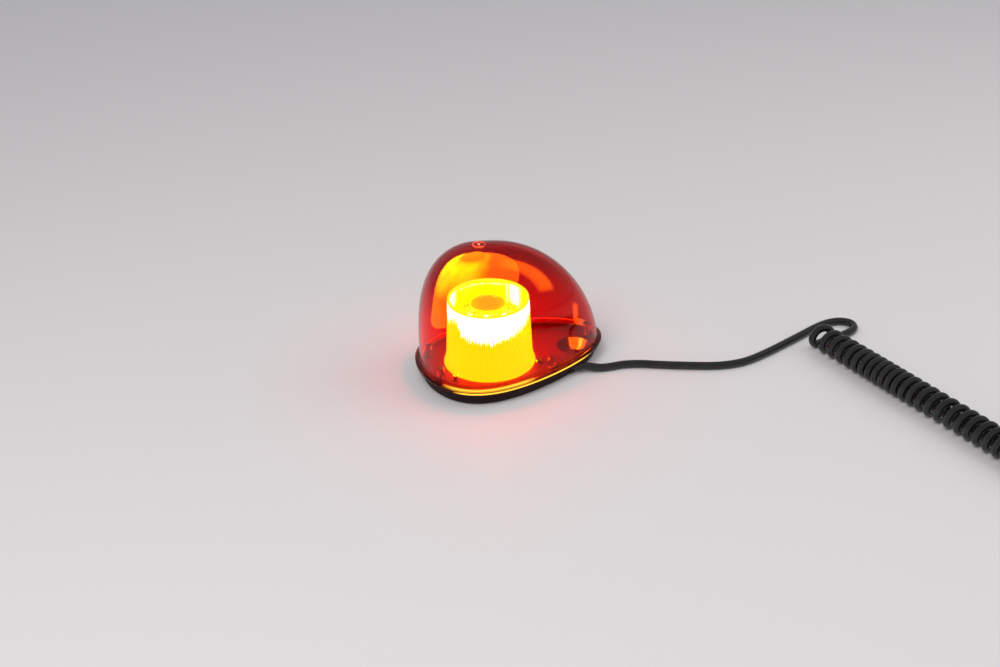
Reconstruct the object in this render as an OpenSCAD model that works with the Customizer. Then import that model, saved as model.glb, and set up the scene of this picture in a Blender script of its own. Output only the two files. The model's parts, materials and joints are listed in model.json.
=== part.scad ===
// Rotating beacon light: a clear teardrop dome over a fluted inner lens, on a
// black tray with a magnet underneath, with a lead, a curly cord and a plug.
// Millimetres. The origin is the centre of the magnet's face on the table,
// +Z is up, +X points to the narrow tail. It is mirror-symmetric about Y = 0
// except for the tail well, the cord and the drive.

/* [Outline] */
// Half length of the rim's teardrop outline
outline_half_length = 88.5; // [86:0.5:94]
// Half width of the rim's teardrop outline
outline_half_width = 57.5; // [56.5:0.5:62]
// Distance of the outline's middle from the lamp's axis, towards the tail
outline_middle_x = 22.3; // [21:0.1:25]
// Share by which the tail is narrower than the head
outline_taper = 0.29; // [0.26:0.01:0.3]
// Share by which the flanks and both ends fill out
outline_fill = 0.17; // [0.15:0.01:0.18]
// Sides of the outline's polygon
outline_sides = 72; // [48:4:96]

/* [Dome] */
// Height of the dome above the rim's underside
dome_height = 114.6; // [112:0.1:125]
// Wall of the dome
dome_wall = 2.2; // [1.6:0.1:2.6]
// Distance of the highest point from the lamp's axis, negative towards the head
dome_top_x = -7.1; // [-9:0.1:-5]
// Fullness of the dome's head side
dome_head_fullness = 3.65; // [3.5:0.05:4]
// Fullness of the dome's tail side
dome_tail_fullness = 1.69; // [1.65:0.01:1.9]
// Roundness of the dome near its top
dome_roundness = 1.97; // [1.9:0.01:2.2]
// Height of the rim flange
rim_height = 2.5; // [2:0.1:3.5]
// Set-back of the dome's foot from the rim's edge
foot_setback = 4; // [3.5:0.1:4.5]
// Height of the small step between the rim and the foot
step_height = 1.2; // [0.8:0.1:2]
// Radius of the dome's screw posts
post_radius = 3.2; // [2.8:0.1:3.6]
// Height of the dome's screw posts above the deck
post_height = 12; // [10:0.5:16]

/* [Tray] */
// Height of the deck above the table
deck_z = 12; // [12:0.1:14]
// Thickness of the deck
deck_thickness = 2; // [1.6:0.1:2.2]
// Thickness of the gasket under the dome
gasket_thickness = 1; // [0.6:0.1:2]
// Height of the tray's lower edge above the table
tray_bottom_z = 1.5; // [1.4:0.1:1.6]
// Thickness of the closing plate
base_plate_thickness = 1; // [0.8:0.1:1]
// Wall of the tray's skirt
skirt_wall = 2; // [1.6:0.1:2.4]
// Distance of the tail well's middle from the tail's tip
well_reach = 32.2; // [30.8:0.1:34.8]
// Sideways place of the tail well
well_y = -12.4; // [-14:0.1:-8]
// Radius of the tail well at the deck
well_radius = 15.5; // [13:0.1:16]
// Radius of the tail well's floor
well_floor_radius = 12; // [9:0.1:13]

/* [Magnet] */
// Radius of the magnet
magnet_radius = 36; // [32:0.5:36]
// Radius of the magnet's hole
magnet_bore = 8; // [7:0.5:12]
// Thickness of the magnet
magnet_thickness = 4.5; // [4:0.1:4.8]
// Thickness of the rubber boot's floor under the magnet
boot_floor = 1.2; // [0.8:0.1:1.4]
// Wall of the rubber boot round the magnet
boot_wall = 1.5; // [1:0.1:2]
// Thickness of the steel pole plate
pole_plate_thickness = 1.2; // [1:0.1:1.4]

/* [Inner lens] */
// Radius of the lens at its open top
lens_top_radius = 35.9; // [34.5:0.1:37]
// Radius of the lens where its skirt starts to flare
lens_waist_radius = 38.3; // [37.5:0.1:39]
// Radius of the lens at the deck
lens_foot_radius = 41; // [40:0.1:42]
// Height of the lens
lens_height = 63; // [62:0.5:66]
// Height of the flared skirt
lens_flare_height = 14; // [10:0.5:18]
// Wall of the lens
lens_wall = 2.2; // [1.8:0.1:2.4]
// Number of upright flutes round the lens
flute_count = 120; // [90:10:140]
// Depth of a flute
flute_depth = 0.6; // [0.4:0.1:0.8]

/* [Drive] */
// Tooth module of the gears
gear_module = 0.7; // [0.68:0.01:0.72]
// Teeth of the turntable gear
turntable_teeth = 46; // [46:1:48]
// Teeth of the motor's pinion
pinion_teeth = 11; // [11:1:12]
// Width of the gear teeth
gear_width = 4; // [3:0.5:4]
// Height of the chassis plate's underside above the table
chassis_z = 37; // [36.8:0.1:37.4]
// Thickness of the chassis plate
chassis_thickness = 1.5; // [1.2:0.1:1.6]
// Radius of the chassis plate
chassis_radius = 32; // [31.5:0.1:32.5]
// Height of the motor's can
motor_height = 22; // [20:0.5:22.5]
// Width of the motor's can across its flats
motor_flats = 15.1; // [13:0.1:15.5]
// Width of the motor's can across its round sides
motor_width = 20.1; // [18:0.1:21]
// Radius of the motor's shaft
shaft_radius = 1; // [0.8:0.05:1.2]

/* [Rotor] */
// Focal length of the reflector
focal_length = 11; // [10.8:0.1:11.5]
// Reach of the reflector in front of the filament
reflector_reach = 6; // [3:0.5:7]
// Thickness of the reflector measured along its axis
reflector_wall = 1.4; // [1:0.1:1.6]
// Height of the filament above the table
filament_z = 56; // [55.5:0.1:56.5]
// Top edge of the reflector above the filament
reflector_top = 11.8; // [10.6:0.1:12.5]
// Radius of the cap over the reflector
rotor_cap_radius = 16; // [15:0.5:18]
// Thickness of the cap over the reflector
rotor_cap_thickness = 1.2; // [0.8:0.1:2]
// Radius of the turntable's platform
platform_radius = 26; // [25:0.5:28]

/* [Bulb] */
// Radius of the bulb's metal cap
bulb_cap_radius = 7.45; // [7.3:0.05:7.5]
// Radius of the bulb's glass globe
globe_radius = 9; // [8:0.1:9.2]

/* [Cord] */
// Diameter of the cord
cord_diameter = 7; // [5.5:0.1:7]
// Outer diameter of the curly cord
curl_outer_diameter = 25; // [24:0.5:27]
// Number of curls
curl_count = 42; // [34:1:43]

/* [Plug] */
// Radius of the plug's grip
grip_radius = 13.5; // [13:0.1:15]
// Length of the plug's grip
grip_length = 34; // [32:0.5:38]
// Radius of the plug's barrel
barrel_radius = 10.3; // [10:0.1:10.5]
// Length of the plug's barrel
barrel_length = 28; // [28:0.5:32]
// Wall of the plug's shell
plug_wall = 1.8; // [1.4:0.1:2]

/* [Fits] */
// Running clearance on a radius
running_clearance = 0.05; // [0.02:0.01:0.1]
// Gap round a piece that is put in by hand
assembly_gap = 0.2; // [0.1:0.05:0.25]

/* [Hidden] */
$fn = 64;

// Levels, from the table up
skirt_top_z = deck_z - deck_thickness;
dome_z = deck_z + gasket_thickness;
base_plate_top = tray_bottom_z + base_plate_thickness;
pole_plate_z = boot_floor + magnet_thickness;
pole_plate_top = pole_plate_z + pole_plate_thickness;
chassis_top = chassis_z + chassis_thickness;
gear_z = chassis_top + 0.8;
platform_z = gear_z + gear_width;
platform_thickness = 1.7;
platform_top = platform_z + platform_thickness;
ring_thickness = 0.8;
ring_z = platform_top + running_clearance * 2;
lens_top_z = deck_z + lens_height;
motor_z = chassis_z - motor_height;

// Middle of the tail well
well_x = outline_middle_x + outline_half_length - well_reach;

// Set-backs from the rim's edge
rim_setback = 1.5;
skirt_setback = 4.5;
skirt_foot_setback = 8;
gasket_setback = 5.8;
post_setback = 12;
plate_setback = skirt_foot_setback + 0.5;
plate_screw_setback = 15;

// Screws: radius of the shank, of its pilot hole, of the hole it passes and of the head
screw_shank = 1.2;
pilot_hole = screw_shank + 0.05;
pass_hole = screw_shank + 0.4;
screw_head = 2.5;
head_height = 1.7;
small_shank = 0.9;
small_head = 1.8;
small_head_height = 1.1;
post_screw_bite = 7;
pillar_screw_bite = 6;
plate_screw_bite = 4.5;
motor_screw_bite = 3;
motor_screw_y = 7.5;
vent_radius = 3.5;
vent_circle = 22;

// Angles round the outline, counted from the tail
post_angles = [0, 75, 155, 192, 285];
plate_screw_angles = [45, 110, 180, 250];

// Angles round the lamp's axis
motor_angle = 150;
pillar_angles = [motor_angle + 60, motor_angle + 180, motor_angle + 300];
pillar_circle = 28.5;
pillar_radius = 2.5;
lug_angles = [-36, 84, 204];
lug_circle = lens_foot_radius + 3.4;
lug_radius = 3.6;
lug_height = 2;
rotor_rest_angle = 246;
centre_distance = gear_module * (turntable_teeth + pinion_teeth) / 2;

// Bolt through the middle of the magnet
bolt_radius = 2.5;
bolt_head_radius = 4.4;
bolt_head_height = 3;
nut_height = 3;
nut_radius = 4.6;

// Lamp holder on the axis
socket_inner = bulb_cap_radius + 0.15;
socket_outer = socket_inner + 0.7;
post_inner = socket_outer + 0.15;
post_outer = post_inner + 1.55;
post_top = ring_z + ring_thickness + 0.1;
socket_bottom = chassis_z - 8;
bulb_cap_bottom = socket_bottom + 3;
bulb_cap_top = post_top - 1.2;
filament_length = 6;

// Cable entry on the near side of the tail
cord_radius = cord_diameter / 2;
entry_point = [69.5, -39.3];
entry_angle = -28.1;
entry_z = (base_plate_top + skirt_top_z) / 2;
entry_boss_width = 14;
entry_boss_length = 11;
entry_bore = cord_radius + 0.9;
function entry_line(d, y, z) =
    [entry_point.x + d * cos(entry_angle) - y * sin(entry_angle),
        entry_point.y + d * sin(entry_angle) + y * cos(entry_angle), z];
cord_end = -22;
wire_clamp_z = skirt_top_z - 2.4;
wire_clamp_place = entry_line(-29.4, 0, wire_clamp_z);
wire_gap = 1.3;
clamped_wire_z = wire_clamp_z + 1;

// Route of the lead on the floor, from inside the tray to just before the curly cord
floor_route = [for (d = [cord_end, -15, -8, -1, 4.5, 7]) entry_line(d, 0, entry_z),
    [80.5, -45, 5.4], [88, -47.8, 4], [97, -49.8, 3.6], [110, -52, 3.6], [123, -57.3, 3.6],
    [137, -66, 3.6], [151, -74.4, 3.6], [165, -82.3, 3.6], [180, -90, 3.6], [195, -95, 3.6],
    [212, -96.5, 3.6], [234, -93, 3.6], [258, -87, 3.6], [282, -80.5, 3.6], [304, -74.5, 3.6],
    [320, -72.5, 3.6], [332, -75.5, 3.6], [338, -83.5, 3.6], [334, -92.5, 3.6],
    [322, -96.8, 3.6], [308, -98, 3.6]];

// Route of the lead from the curly cord to the plug
plug_route = [[403, -286, 3.6], [412, -278, 3.6], [419, -267, 3.6], [428, -258, 3.8],
    [440, -254, 4.5], [452, -258, 6.5], [459, -268, 9.5], [461, -280, 12.3], [461, -290, 13.5],
    [461, -300, 13.5], [461, -312, 13.5]];

// Route of the thin wires inside, from the cable's end to the motor and the socket
function wire_start(y) = [for (q = [[cord_end - 0.25, -1.2], [-25, -0.4], [-27.2, 0], [-31.6, 0]])
    entry_line(q[0], y, clamped_wire_z + q[1])];
live_route = concat(wire_start(-wire_gap), [entry_line(-33.2, -0.7, clamped_wire_z),
    entry_line(-35.5, 1, clamped_wire_z), [34.6, -17.4, 8.6], [32, -11, 8.7], [31, -8.9, 12.5],
    [27, -7.8, 18], [17, -5.5, 23], [8, -3, 25.6], [2.5, -1, 26.4], [0.3, -0.1, 27.6], [0, 0, 28.9]]);
earth_route = concat(wire_start(wire_gap), [entry_line(-33, 1.6, clamped_wire_z), [38, -15.5, 8.6],
    [34, -8.2, 8.8], [31, -5.8, 12.5],
    [22, -2, 17], [8, 7, 18.4], [-3, 11, 16], [-7.5, 12.2, 14], [-10, 13.2, 13.8], [-12.6, 14.3, 13.9]]);
wire_radius = 0.8;
wire_hole = [31, -7.5, 4];

// The curly cord: its axis runs straight, turns back on a half circle and runs straight again
curl_radius = (curl_outer_diameter - cord_diameter) / 2;
curl_start = [288, -100];
curl_heading = -83.5;
curl_first_run = 245;
curl_turn_radius = 38;
curl_mean_pitch = 9.5;
curl_pitch_swing = 1.8;
curl_pitch_period = 17.8;
curl_far_pitch = 10;
curl_rings = 8;
curl_sides = 6;

// Place of the plug on the table
plug_rear = [461, -324];
plug_heading = -90;
plug_length = grip_length + barrel_length;
relief_length = 24;
relief_radius = cord_radius + 2.6;
relief_collar_z = 3.5;
nose_length = 8;
nose_spigot_radius = 7;
tip_radius = 3;
tip_flange = 1.6;
tip_flange_z = 1.4;
fuse_length = 30;
fuse_z = plug_length - 38.5;
spring_wire = 0.45;
spring_radius = 3.9;
plug_screw_y = 7.8;
plug_screw_z = grip_length - 5.5;
plug_screw_seat = 6.5;
plug_boss_reach = 8.6;
blade_z = plug_length - 20.5;
blade_length = 14.5;
blade_thickness = 0.5;
blade_foot_radius = barrel_radius - plug_wall - 0.4;
switch_pivot_x = grip_radius - 5.3;
switch_z = 14.5;
switch_window = 14;
switch_width = 8;
switch_half = 6.1;
switch_tilt = 7;

// Small functions
function unit(v) = v / norm(v);
function flat(v) = [v.x, v.y];
function polar(r, a) = [r * cos(a), r * sin(a)];
function turn2(v, a) = [v.x * cos(a) - v.y * sin(a), v.x * sin(a) + v.y * cos(a)];

// Point of the teardrop outline at angle t, set back by e from the rim's edge
function outline_point(t, e) =
    let (k = 1 - outline_taper * cos(t) + outline_fill * cos(t) * cos(t))
    let (dk = outline_taper * sin(t) - 2 * outline_fill * cos(t) * sin(t))
    let (dx = -outline_half_length * sin(t))
    let (dy = outline_half_width * (cos(t) * k + sin(t) * dk))
    let (len = norm([dx, dy]))
    [outline_middle_x + outline_half_length * cos(t) - e * dy / len,
        outline_half_width * sin(t) * k + e * dx / len];

function outline_angle(i) = 360 * i / outline_sides;
function outline(e) = [for (i = [0 : outline_sides - 1]) outline_point(outline_angle(i), e)];

module outline_slab(e, z, h) {
    translate([0, 0, z]) linear_extrude(h) polygon(outline(e));
}

// Point of the dome's surface over the outline set back by e, at share s of its height h
function dome_point(i, e, h, s) =
    let (p = outline_point(outline_angle(i), e))
    let (w = (1 + (p.x - dome_top_x) / norm([p.x - dome_top_x, p.y])) / 2)
    let (n = dome_head_fullness + (dome_tail_fullness - dome_head_fullness) * w)
    let (g = pow(1 - pow(s, n), 1 / dome_roundness))
    [dome_top_x + (p.x - dome_top_x) * g, p.y * g, dome_z + h * s];

// One closed skin from rings of equal length: side walls, and a fan to each end point
function strip(a, b, n) = [for (i = [0 : n - 1]) each [
    [a * n + i, a * n + (i + 1) % n, b * n + i],
    [a * n + (i + 1) % n, b * n + (i + 1) % n, b * n + i]]];
function fan(a, n, tip) = [for (i = [0 : n - 1]) [a * n + i, a * n + (i + 1) % n, tip]];
function flip(faces) = [for (f = faces) [f[2], f[1], f[0]]];

// Tube swept along points, with a frame kept level
function tangent(p, i) = unit(p[min(i + 1, len(p) - 1)] - p[max(i - 1, 0)]);
function side_of(t) =
    abs(t.z) > 0.95 ? unit(cross(t, [0, 1, 0])) : unit(cross(t, [0, 0, 1]));
function ring_at(c, t, r, n) =
    let (u = side_of(t))
    let (v = cross(u, t))
    [for (k = [0 : n - 1]) c + r * (cos(360 * (k + 0.5) / n) * u + sin(360 * (k + 0.5) / n) * v)];

module swept_tube(p, tangents, r, n) {
    rings = [for (i = [0 : len(p) - 1]) each ring_at(p[i], tangents[i], r, n)];
    last = len(p) - 1;
    faces = concat(
        [for (i = [0 : last - 1]) each strip(i, i + 1, n)],
        flip(fan(0, n, len(rings))),
        fan(last, n, len(rings) + 1));
    polyhedron(concat(rings, [p[0], p[last]]), faces);
}

// A smooth curve through chosen points, with parts steps between two of them
function spline_point(p, i, u) =
    let (a = p[max(i - 1, 0)], b = p[i], c = p[i + 1], d = p[min(i + 2, len(p) - 1)])
    0.5 * (2 * b + (c - a) * u + (2 * a - 5 * b + 4 * c - d) * u * u
        + (3 * b - a - 3 * c + d) * u * u * u);
function smooth(p, parts) = concat(
    [for (i = [0 : len(p) - 2]) for (j = [0 : parts - 1]) spline_point(p, i, j / parts)],
    [p[len(p) - 1]]);

module lead(route, r, n, parts) {
    p = smooth(route, parts);
    swept_tube(p, [for (i = [0 : len(p) - 1]) tangent(p, i)], r, n);
}

// A lead that ends square to its neighbour, which lies at the given end of its route
module joined_lead(route, at_start, heading, r, n, parts) {
    p = smooth(route, parts);
    last = len(p) - 1;
    swept_tube(p, [for (i = [0 : last]) i == (at_start ? 0 : last) ? heading : tangent(p, i)], r, n);
}

// A screw that stands on its head's underside at z = 0 and points down
module screw(shank, length, head, height) {
    translate([0, 0, -length]) cylinder(r = shank, h = length + height / 2, $fn = 24);
    difference() {
        cylinder(r = head, h = height, $fn = 32);
        translate([0, 0, height * 0.5]) cube([head * 1.5, 0.6, height * 1.2], center = true);
        translate([0, 0, height * 0.5]) cube([0.6, head * 1.5, height * 1.2], center = true);
    }
}

// Rubber boot that covers the magnet's face and rim; it is what rests on the table
module magnet_boot() color("dimgray") {
    difference() {
        cylinder(r = magnet_radius + boot_wall + assembly_gap, h = boot_floor + magnet_thickness * 0.7);
        translate([0, 0, boot_floor])
            cylinder(r = magnet_radius + assembly_gap, h = magnet_thickness);
    }
}

module magnet() color("slategray") {
    translate([0, 0, boot_floor]) difference() {
        cylinder(r = magnet_radius, h = magnet_thickness);
        translate([0, 0, -1]) cylinder(r = magnet_bore, h = magnet_thickness + 2);
    }
}

module pole_plate() color("silver") {
    translate([0, 0, pole_plate_z]) difference() {
        cylinder(r = magnet_radius - 1.5, h = pole_plate_thickness);
        translate([0, 0, -1]) cylinder(r = bolt_radius + 0.1, h = pole_plate_thickness + 2);
    }
}

module magnet_bolt() color("silver") {
    translate([0, 0, pole_plate_z - bolt_head_height])
        cylinder(r = bolt_head_radius, h = bolt_head_height, $fn = 6);
    translate([0, 0, pole_plate_z - 1])
        cylinder(r = bolt_radius, h = deck_z + nut_height + 2 - pole_plate_z);
}

module magnet_nut() color("silver") {
    translate([0, 0, deck_z]) difference() {
        cylinder(r = nut_radius, h = nut_height, $fn = 6);
        translate([0, 0, -1]) cylinder(r = bolt_radius + 0.05, h = nut_height + 2);
    }
}

// Plate that closes the tray from below, open round the boot
module base_plate() color("dimgray") {
    difference() {
        outline_slab(plate_setback, tray_bottom_z, base_plate_thickness);
        translate([0, 0, tray_bottom_z - 1])
            cylinder(r = magnet_radius + boot_wall + 2 * assembly_gap, h = base_plate_thickness + 2);
        for (t = plate_screw_angles)
            translate(outline_point(t, plate_screw_setback)) translate([0, 0, tray_bottom_z - 1])
                cylinder(r = pass_hole, h = base_plate_thickness + 2);
        entry_axis(-entry_boss_length - 3) cylinder(r = entry_bore + assembly_gap, h = 32);
    }
}

module base_screws() color("silver") {
    for (t = plate_screw_angles)
        translate(outline_point(t, plate_screw_setback)) translate([0, 0, tray_bottom_z])
            mirror([0, 0, 1]) screw(screw_shank, base_plate_thickness + plate_screw_bite, screw_head, 0.9);
}

// Shape of the well in the tray's tail, grown by g
module well_cone(g) {
    translate([well_x, well_y, base_plate_top + (g > 0 ? 0 : 1.5)])
        cylinder(r1 = well_floor_radius + g, r2 = well_radius + g,
            h = deck_z - base_plate_top - (g > 0 ? 0 : 1.5) + (g > 0 ? 0 : 0.01));
}

module entry_axis(from) {
    translate([entry_point.x, entry_point.y, entry_z]) rotate([0, 0, entry_angle]) translate([from, 0, 0])
        rotate([0, 90, 0]) children();
}

// The black moulding that carries everything: skirt, deck, tail well, bosses and cable entry
module tray() color("dimgray") {
    difference() {
        union() {
            difference() {
                union() {
                    hull() {
                        outline_slab(skirt_foot_setback - 2.2, tray_bottom_z, 0.1);
                        outline_slab(skirt_setback, skirt_top_z - 0.1, 0.1);
                    }
                    outline_slab(rim_setback, skirt_top_z, deck_thickness);
                }
                outline_slab(skirt_foot_setback, tray_bottom_z - 1, skirt_top_z - tray_bottom_z + 1);
            }
            well_cone(skirt_wall);
            for (t = plate_screw_angles)
                translate(outline_point(t, plate_screw_setback)) translate([0, 0, base_plate_top])
                    cylinder(r = post_radius, h = skirt_top_z - base_plate_top + 0.5);
            for (a = lug_angles)
                rotate([0, 0, a]) translate([lug_circle, 0, skirt_top_z - 4])
                    cylinder(r = post_radius - 0.2, h = 4.5);
            translate([0, 0, pole_plate_top]) cylinder(r = 12, h = skirt_top_z - pole_plate_top + 0.5);
            intersection() {
                translate([entry_point.x, entry_point.y, base_plate_top]) rotate([0, 0, entry_angle])
                    translate([-entry_boss_length, -entry_boss_width / 2, 0])
                        cube([entry_boss_length + 6, entry_boss_width, skirt_top_z - base_plate_top + 0.5]);
                outline_slab(skirt_setback, tray_bottom_z, skirt_top_z - tray_bottom_z + 0.5);
            }
            translate(wire_clamp_place) rotate([0, 0, entry_angle])
                for (y = [-clamp_screw_y, clamp_screw_y])
                    translate([0, y, 2]) cylinder(r = 2, h = 1);
            translate([0, 0, deck_z - 0.5]) difference() {
                cylinder(r = spigot_radius, h = 0.5 + spigot_height);
                translate([0, 0, -1]) cylinder(r = spigot_radius - 1.5, h = 2 + spigot_height);
            }
        }
        well_cone(0);
        for (t = plate_screw_angles)
            translate(outline_point(t, plate_screw_setback)) translate([0, 0, base_plate_top - 1])
                cylinder(r = pilot_hole, h = 6.5);
        for (t = post_angles)
            translate(outline_point(t, post_setback)) translate([0, 0, skirt_top_z - 1])
                cylinder(r = pass_hole, h = deck_thickness + 2);
        for (a = lug_angles)
            rotate([0, 0, a]) translate([lug_circle, 0, skirt_top_z - 2.5]) cylinder(r = pilot_hole, h = 6);
        for (a = pillar_angles)
            rotate([0, 0, a]) translate([pillar_circle, 0, skirt_top_z - 1])
                cylinder(r = pass_hole, h = deck_thickness + 2);
        translate([0, 0, pole_plate_top - 1]) cylinder(r = bolt_radius + 0.1, h = deck_z);
        translate([wire_hole.x, wire_hole.y, skirt_top_z - 1])
            cylinder(r = wire_hole.z, h = deck_thickness + 2);
        translate(wire_clamp_place) rotate([0, 0, entry_angle])
            for (y = [-clamp_screw_y, clamp_screw_y])
                translate([0, y, 0]) cylinder(r = small_shank + 0.05, h = 3.8, $fn = 24);
        entry_axis(-20) cylinder(r = entry_bore, h = 32);
    }
}

module gasket() color("gray") {
    difference() {
        outline_slab(rim_setback, deck_z, gasket_thickness);
        outline_slab(gasket_setback, deck_z - 1, gasket_thickness + 2);
    }
}

// Clear dome: rim flange, step, blown wall, screw posts on webs and the gate mark on top
dome_rows = 17;
dome_inner_rows = 12;
mark_radius = 5.8;
mark_width = 1;
mark_height = 0.35;
web_thickness = 1.6;
web_height = 5;
web_lap = 0.6;
function dome_skin() =
    let (n = outline_sides)
    let (h_in = dome_height - dome_wall)
    let (rim = [[0, 0], [0, rim_height], [foot_setback - 1.4, rim_height],
        [foot_setback - 1.4, rim_height + step_height], [foot_setback, rim_height + step_height]])
    let (s0 = asin((rim_height + step_height) / dome_height), s1 = 90 / dome_inner_rows)
    concat(
        [for (r = rim) for (i = [0 : n - 1])
            concat(outline_point(outline_angle(i), r[0]), [dome_z + r[1]])],
        [for (j = [1 : dome_rows - 1]) for (i = [0 : n - 1])
            dome_point(i, foot_setback, dome_height, sin(s0 + (90 - s0) * j / dome_rows))],
        [for (j = [0 : dome_inner_rows - 1]) for (i = [0 : n - 1])
            dome_point(i, foot_setback + dome_wall, h_in, sin(s1 * j))],
        [[dome_top_x, 0, dome_z + dome_height], [dome_top_x, 0, dome_z + h_in]]);

module dome() color("red", 0.5) {
    outer = 4 + dome_rows;
    inner = outer + dome_inner_rows;
    tips = outline_sides * inner;
    polyhedron(dome_skin(), flip(concat(
        [for (j = [0 : outer - 2]) each strip(j, j + 1, outline_sides)],
        fan(outer - 1, outline_sides, tips),
        flip([for (j = [outer : inner - 2]) each strip(j, j + 1, outline_sides)]),
        flip(fan(inner - 1, outline_sides, tips + 1)),
        flip(strip(0, outer, outline_sides)))));
    for (t = post_angles)
        let (p = outline_point(t, post_setback), q = outline_point(t, foot_setback + 1))
        let (a = atan2(q.y - p.y, q.x - p.x))
        difference() {
            union() {
                translate([p.x, p.y, deck_z]) cylinder(r = post_radius, h = post_height, $fn = 32);
                translate([p.x, p.y, dome_z]) rotate([0, 0, a])
                    translate([post_radius - web_lap, -web_thickness / 2, 0])
                        cube([norm(q - p) - post_radius + web_lap - 0.4, web_thickness, web_height]);
            }
            translate([p.x, p.y, deck_z - 1]) cylinder(r = pilot_hole, h = post_height - 1, $fn = 24);
        }
    translate([dome_top_x, 0, dome_z + dome_height - 1]) {
        difference() {
            cylinder(r = mark_radius, h = 1 + mark_height);
            translate([0, 0, -1]) cylinder(r = mark_radius - mark_width, h = 3 + mark_height);
        }
        cylinder(r = mark_width, h = 1 + 2 * mark_height, $fn = 32);
    }
}

module dome_screws() color("silver") {
    for (t = post_angles)
        translate(outline_point(t, post_setback)) translate([0, 0, skirt_top_z])
            mirror([0, 0, 1]) screw(screw_shank, deck_thickness + post_screw_bite, screw_head, head_height);
}

// Rubber sleeve that holds the cord in the skirt, with a flat-sided collar behind the wall
module cable_grommet() color("dimgray") {
    difference() {
        union() {
            entry_axis(-entry_boss_length - 1)
                cylinder(r = entry_bore - running_clearance, h = entry_boss_length + 5);
            intersection() {
                entry_axis(-entry_boss_length - 2.5) cylinder(r = entry_bore + 1.6, h = 2.4);
                outline_slab(skirt_foot_setback + running_clearance, base_plate_top + 0.1,
                    skirt_top_z - base_plate_top - 0.2);
            }
        }
        entry_axis(-entry_boss_length - 5) cylinder(r = cord_radius + running_clearance, h = 22);
    }
}

// Bar that clamps the two inner wires under the deck
clamp_screw_y = 5;
module wire_clamp() color("dimgray") {
    translate(wire_clamp_place) rotate([0, 0, entry_angle]) difference() {
        translate([-2, -clamp_screw_y - 2, 0]) cube([4, 2 * clamp_screw_y + 4, 2]);
        for (y = [-wire_gap, wire_gap])
            translate([-5, y, 1]) rotate([0, 90, 0]) cylinder(r = wire_radius + 0.05, h = 10, $fn = 24);
        for (y = [-clamp_screw_y, clamp_screw_y])
            translate([0, y, -1]) cylinder(r = small_shank + 0.1, h = 4, $fn = 24);
    }
}

module clamp_screws() color("silver") {
    translate(wire_clamp_place) rotate([0, 0, entry_angle])
        for (y = [-clamp_screw_y, clamp_screw_y])
            translate([0, y, 0]) mirror([0, 0, 1]) screw(small_shank, 3.6, small_head, 0.8);
}

module live_wire() color("firebrick") {
    lead(live_route, wire_radius, 8, 2);
}

module earth_wire() color("black") {
    lead(earth_route, wire_radius, 8, 2);
}

// Outer radius of the lens at height z above the deck, without the flutes
function lens_radius(z) =
    z < lens_flare_height
        ? lens_waist_radius + (lens_foot_radius - lens_waist_radius) * pow(1 - z / lens_flare_height, 2)
        : lens_waist_radius + (lens_top_radius - lens_waist_radius)
            * (z - lens_flare_height) / (lens_height - lens_flare_height);

// Low ring on the deck that centres the lens
spigot_height = 1.5;
spigot_radius = lens_radius(spigot_height) - lens_wall - assembly_gap;

// Fluted lens: flared smooth skirt, upright flutes outside and a plain rim at the open top
lens_flare_steps = 6;
lens_rim_height = 2;
lens_lap = 0.3;
lens_step = 0.05;
module lens() color("gold", 0.8) {
    z1 = lens_flare_height;
    z2 = lens_height - lens_rim_height;
    steps = [for (i = [0 : lens_flare_steps]) z1 * i / lens_flare_steps];
    difference() {
        union() {
            translate([0, 0, deck_z]) rotate_extrude($fn = 96) polygon(concat(
                [for (z = steps) [lens_radius(z), z]],
                [for (i = [len(steps) - 1 : -1 : 0]) [lens_radius(steps[i]) - lens_wall, steps[i]]]));
            translate([0, 0, deck_z + z1 - lens_lap])
                linear_extrude(z2 - z1 + 2 * lens_lap, scale = lens_radius(z2) / lens_radius(z1))
                    fluted_ring(lens_radius(z1) - lens_step);
            translate([0, 0, deck_z + z2]) rotate_extrude($fn = 96)
                polygon([[lens_radius(z2) - lens_wall, 0], [lens_radius(z2), 0],
                    [lens_top_radius, lens_rim_height], [lens_top_radius - lens_wall, lens_rim_height]]);
            for (a = lug_angles)
                rotate([0, 0, a]) translate([lug_circle, 0, deck_z]) {
                    cylinder(r = lug_radius, h = lug_height, $fn = 32);
                    translate([-4.5, -2.4, 0]) cube([4, 4.8, lug_height]);
                }
        }
        for (a = lug_angles)
            rotate([0, 0, a]) translate([lug_circle, 0, deck_z - 1])
                cylinder(r = pass_hole, h = 4, $fn = 32);
    }
}

module fluted_ring(r) {
    difference() {
        polygon([for (i = [0 : 2 * flute_count - 1])
            (r - (i % 2) * flute_depth) * [cos(180 * i / flute_count), sin(180 * i / flute_count)]]);
        circle(r = r - lens_wall + 2 * lens_step, $fn = 96);
    }
}

module lens_screws() color("silver") {
    for (a = lug_angles)
        rotate([0, 0, a]) translate([lug_circle, 0, deck_z + lug_height])
            screw(screw_shank, lug_height + 4, screw_head, head_height);
}

module chassis_pillars() color("silver") {
    for (a = pillar_angles)
        rotate([0, 0, a]) translate([pillar_circle, 0, deck_z]) difference() {
            cylinder(r = pillar_radius, h = chassis_z - deck_z, $fn = 6);
            translate([0, 0, -1]) cylinder(r = pilot_hole, h = 9);
            translate([0, 0, chassis_z - deck_z - 8]) cylinder(r = pilot_hole, h = 9);
        }
}

module pillar_screws() color("silver") {
    for (a = pillar_angles)
        rotate([0, 0, a]) translate([pillar_circle, 0, skirt_top_z])
            mirror([0, 0, 1])
                screw(screw_shank, deck_thickness + pillar_screw_bite, screw_head, head_height);
}

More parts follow.
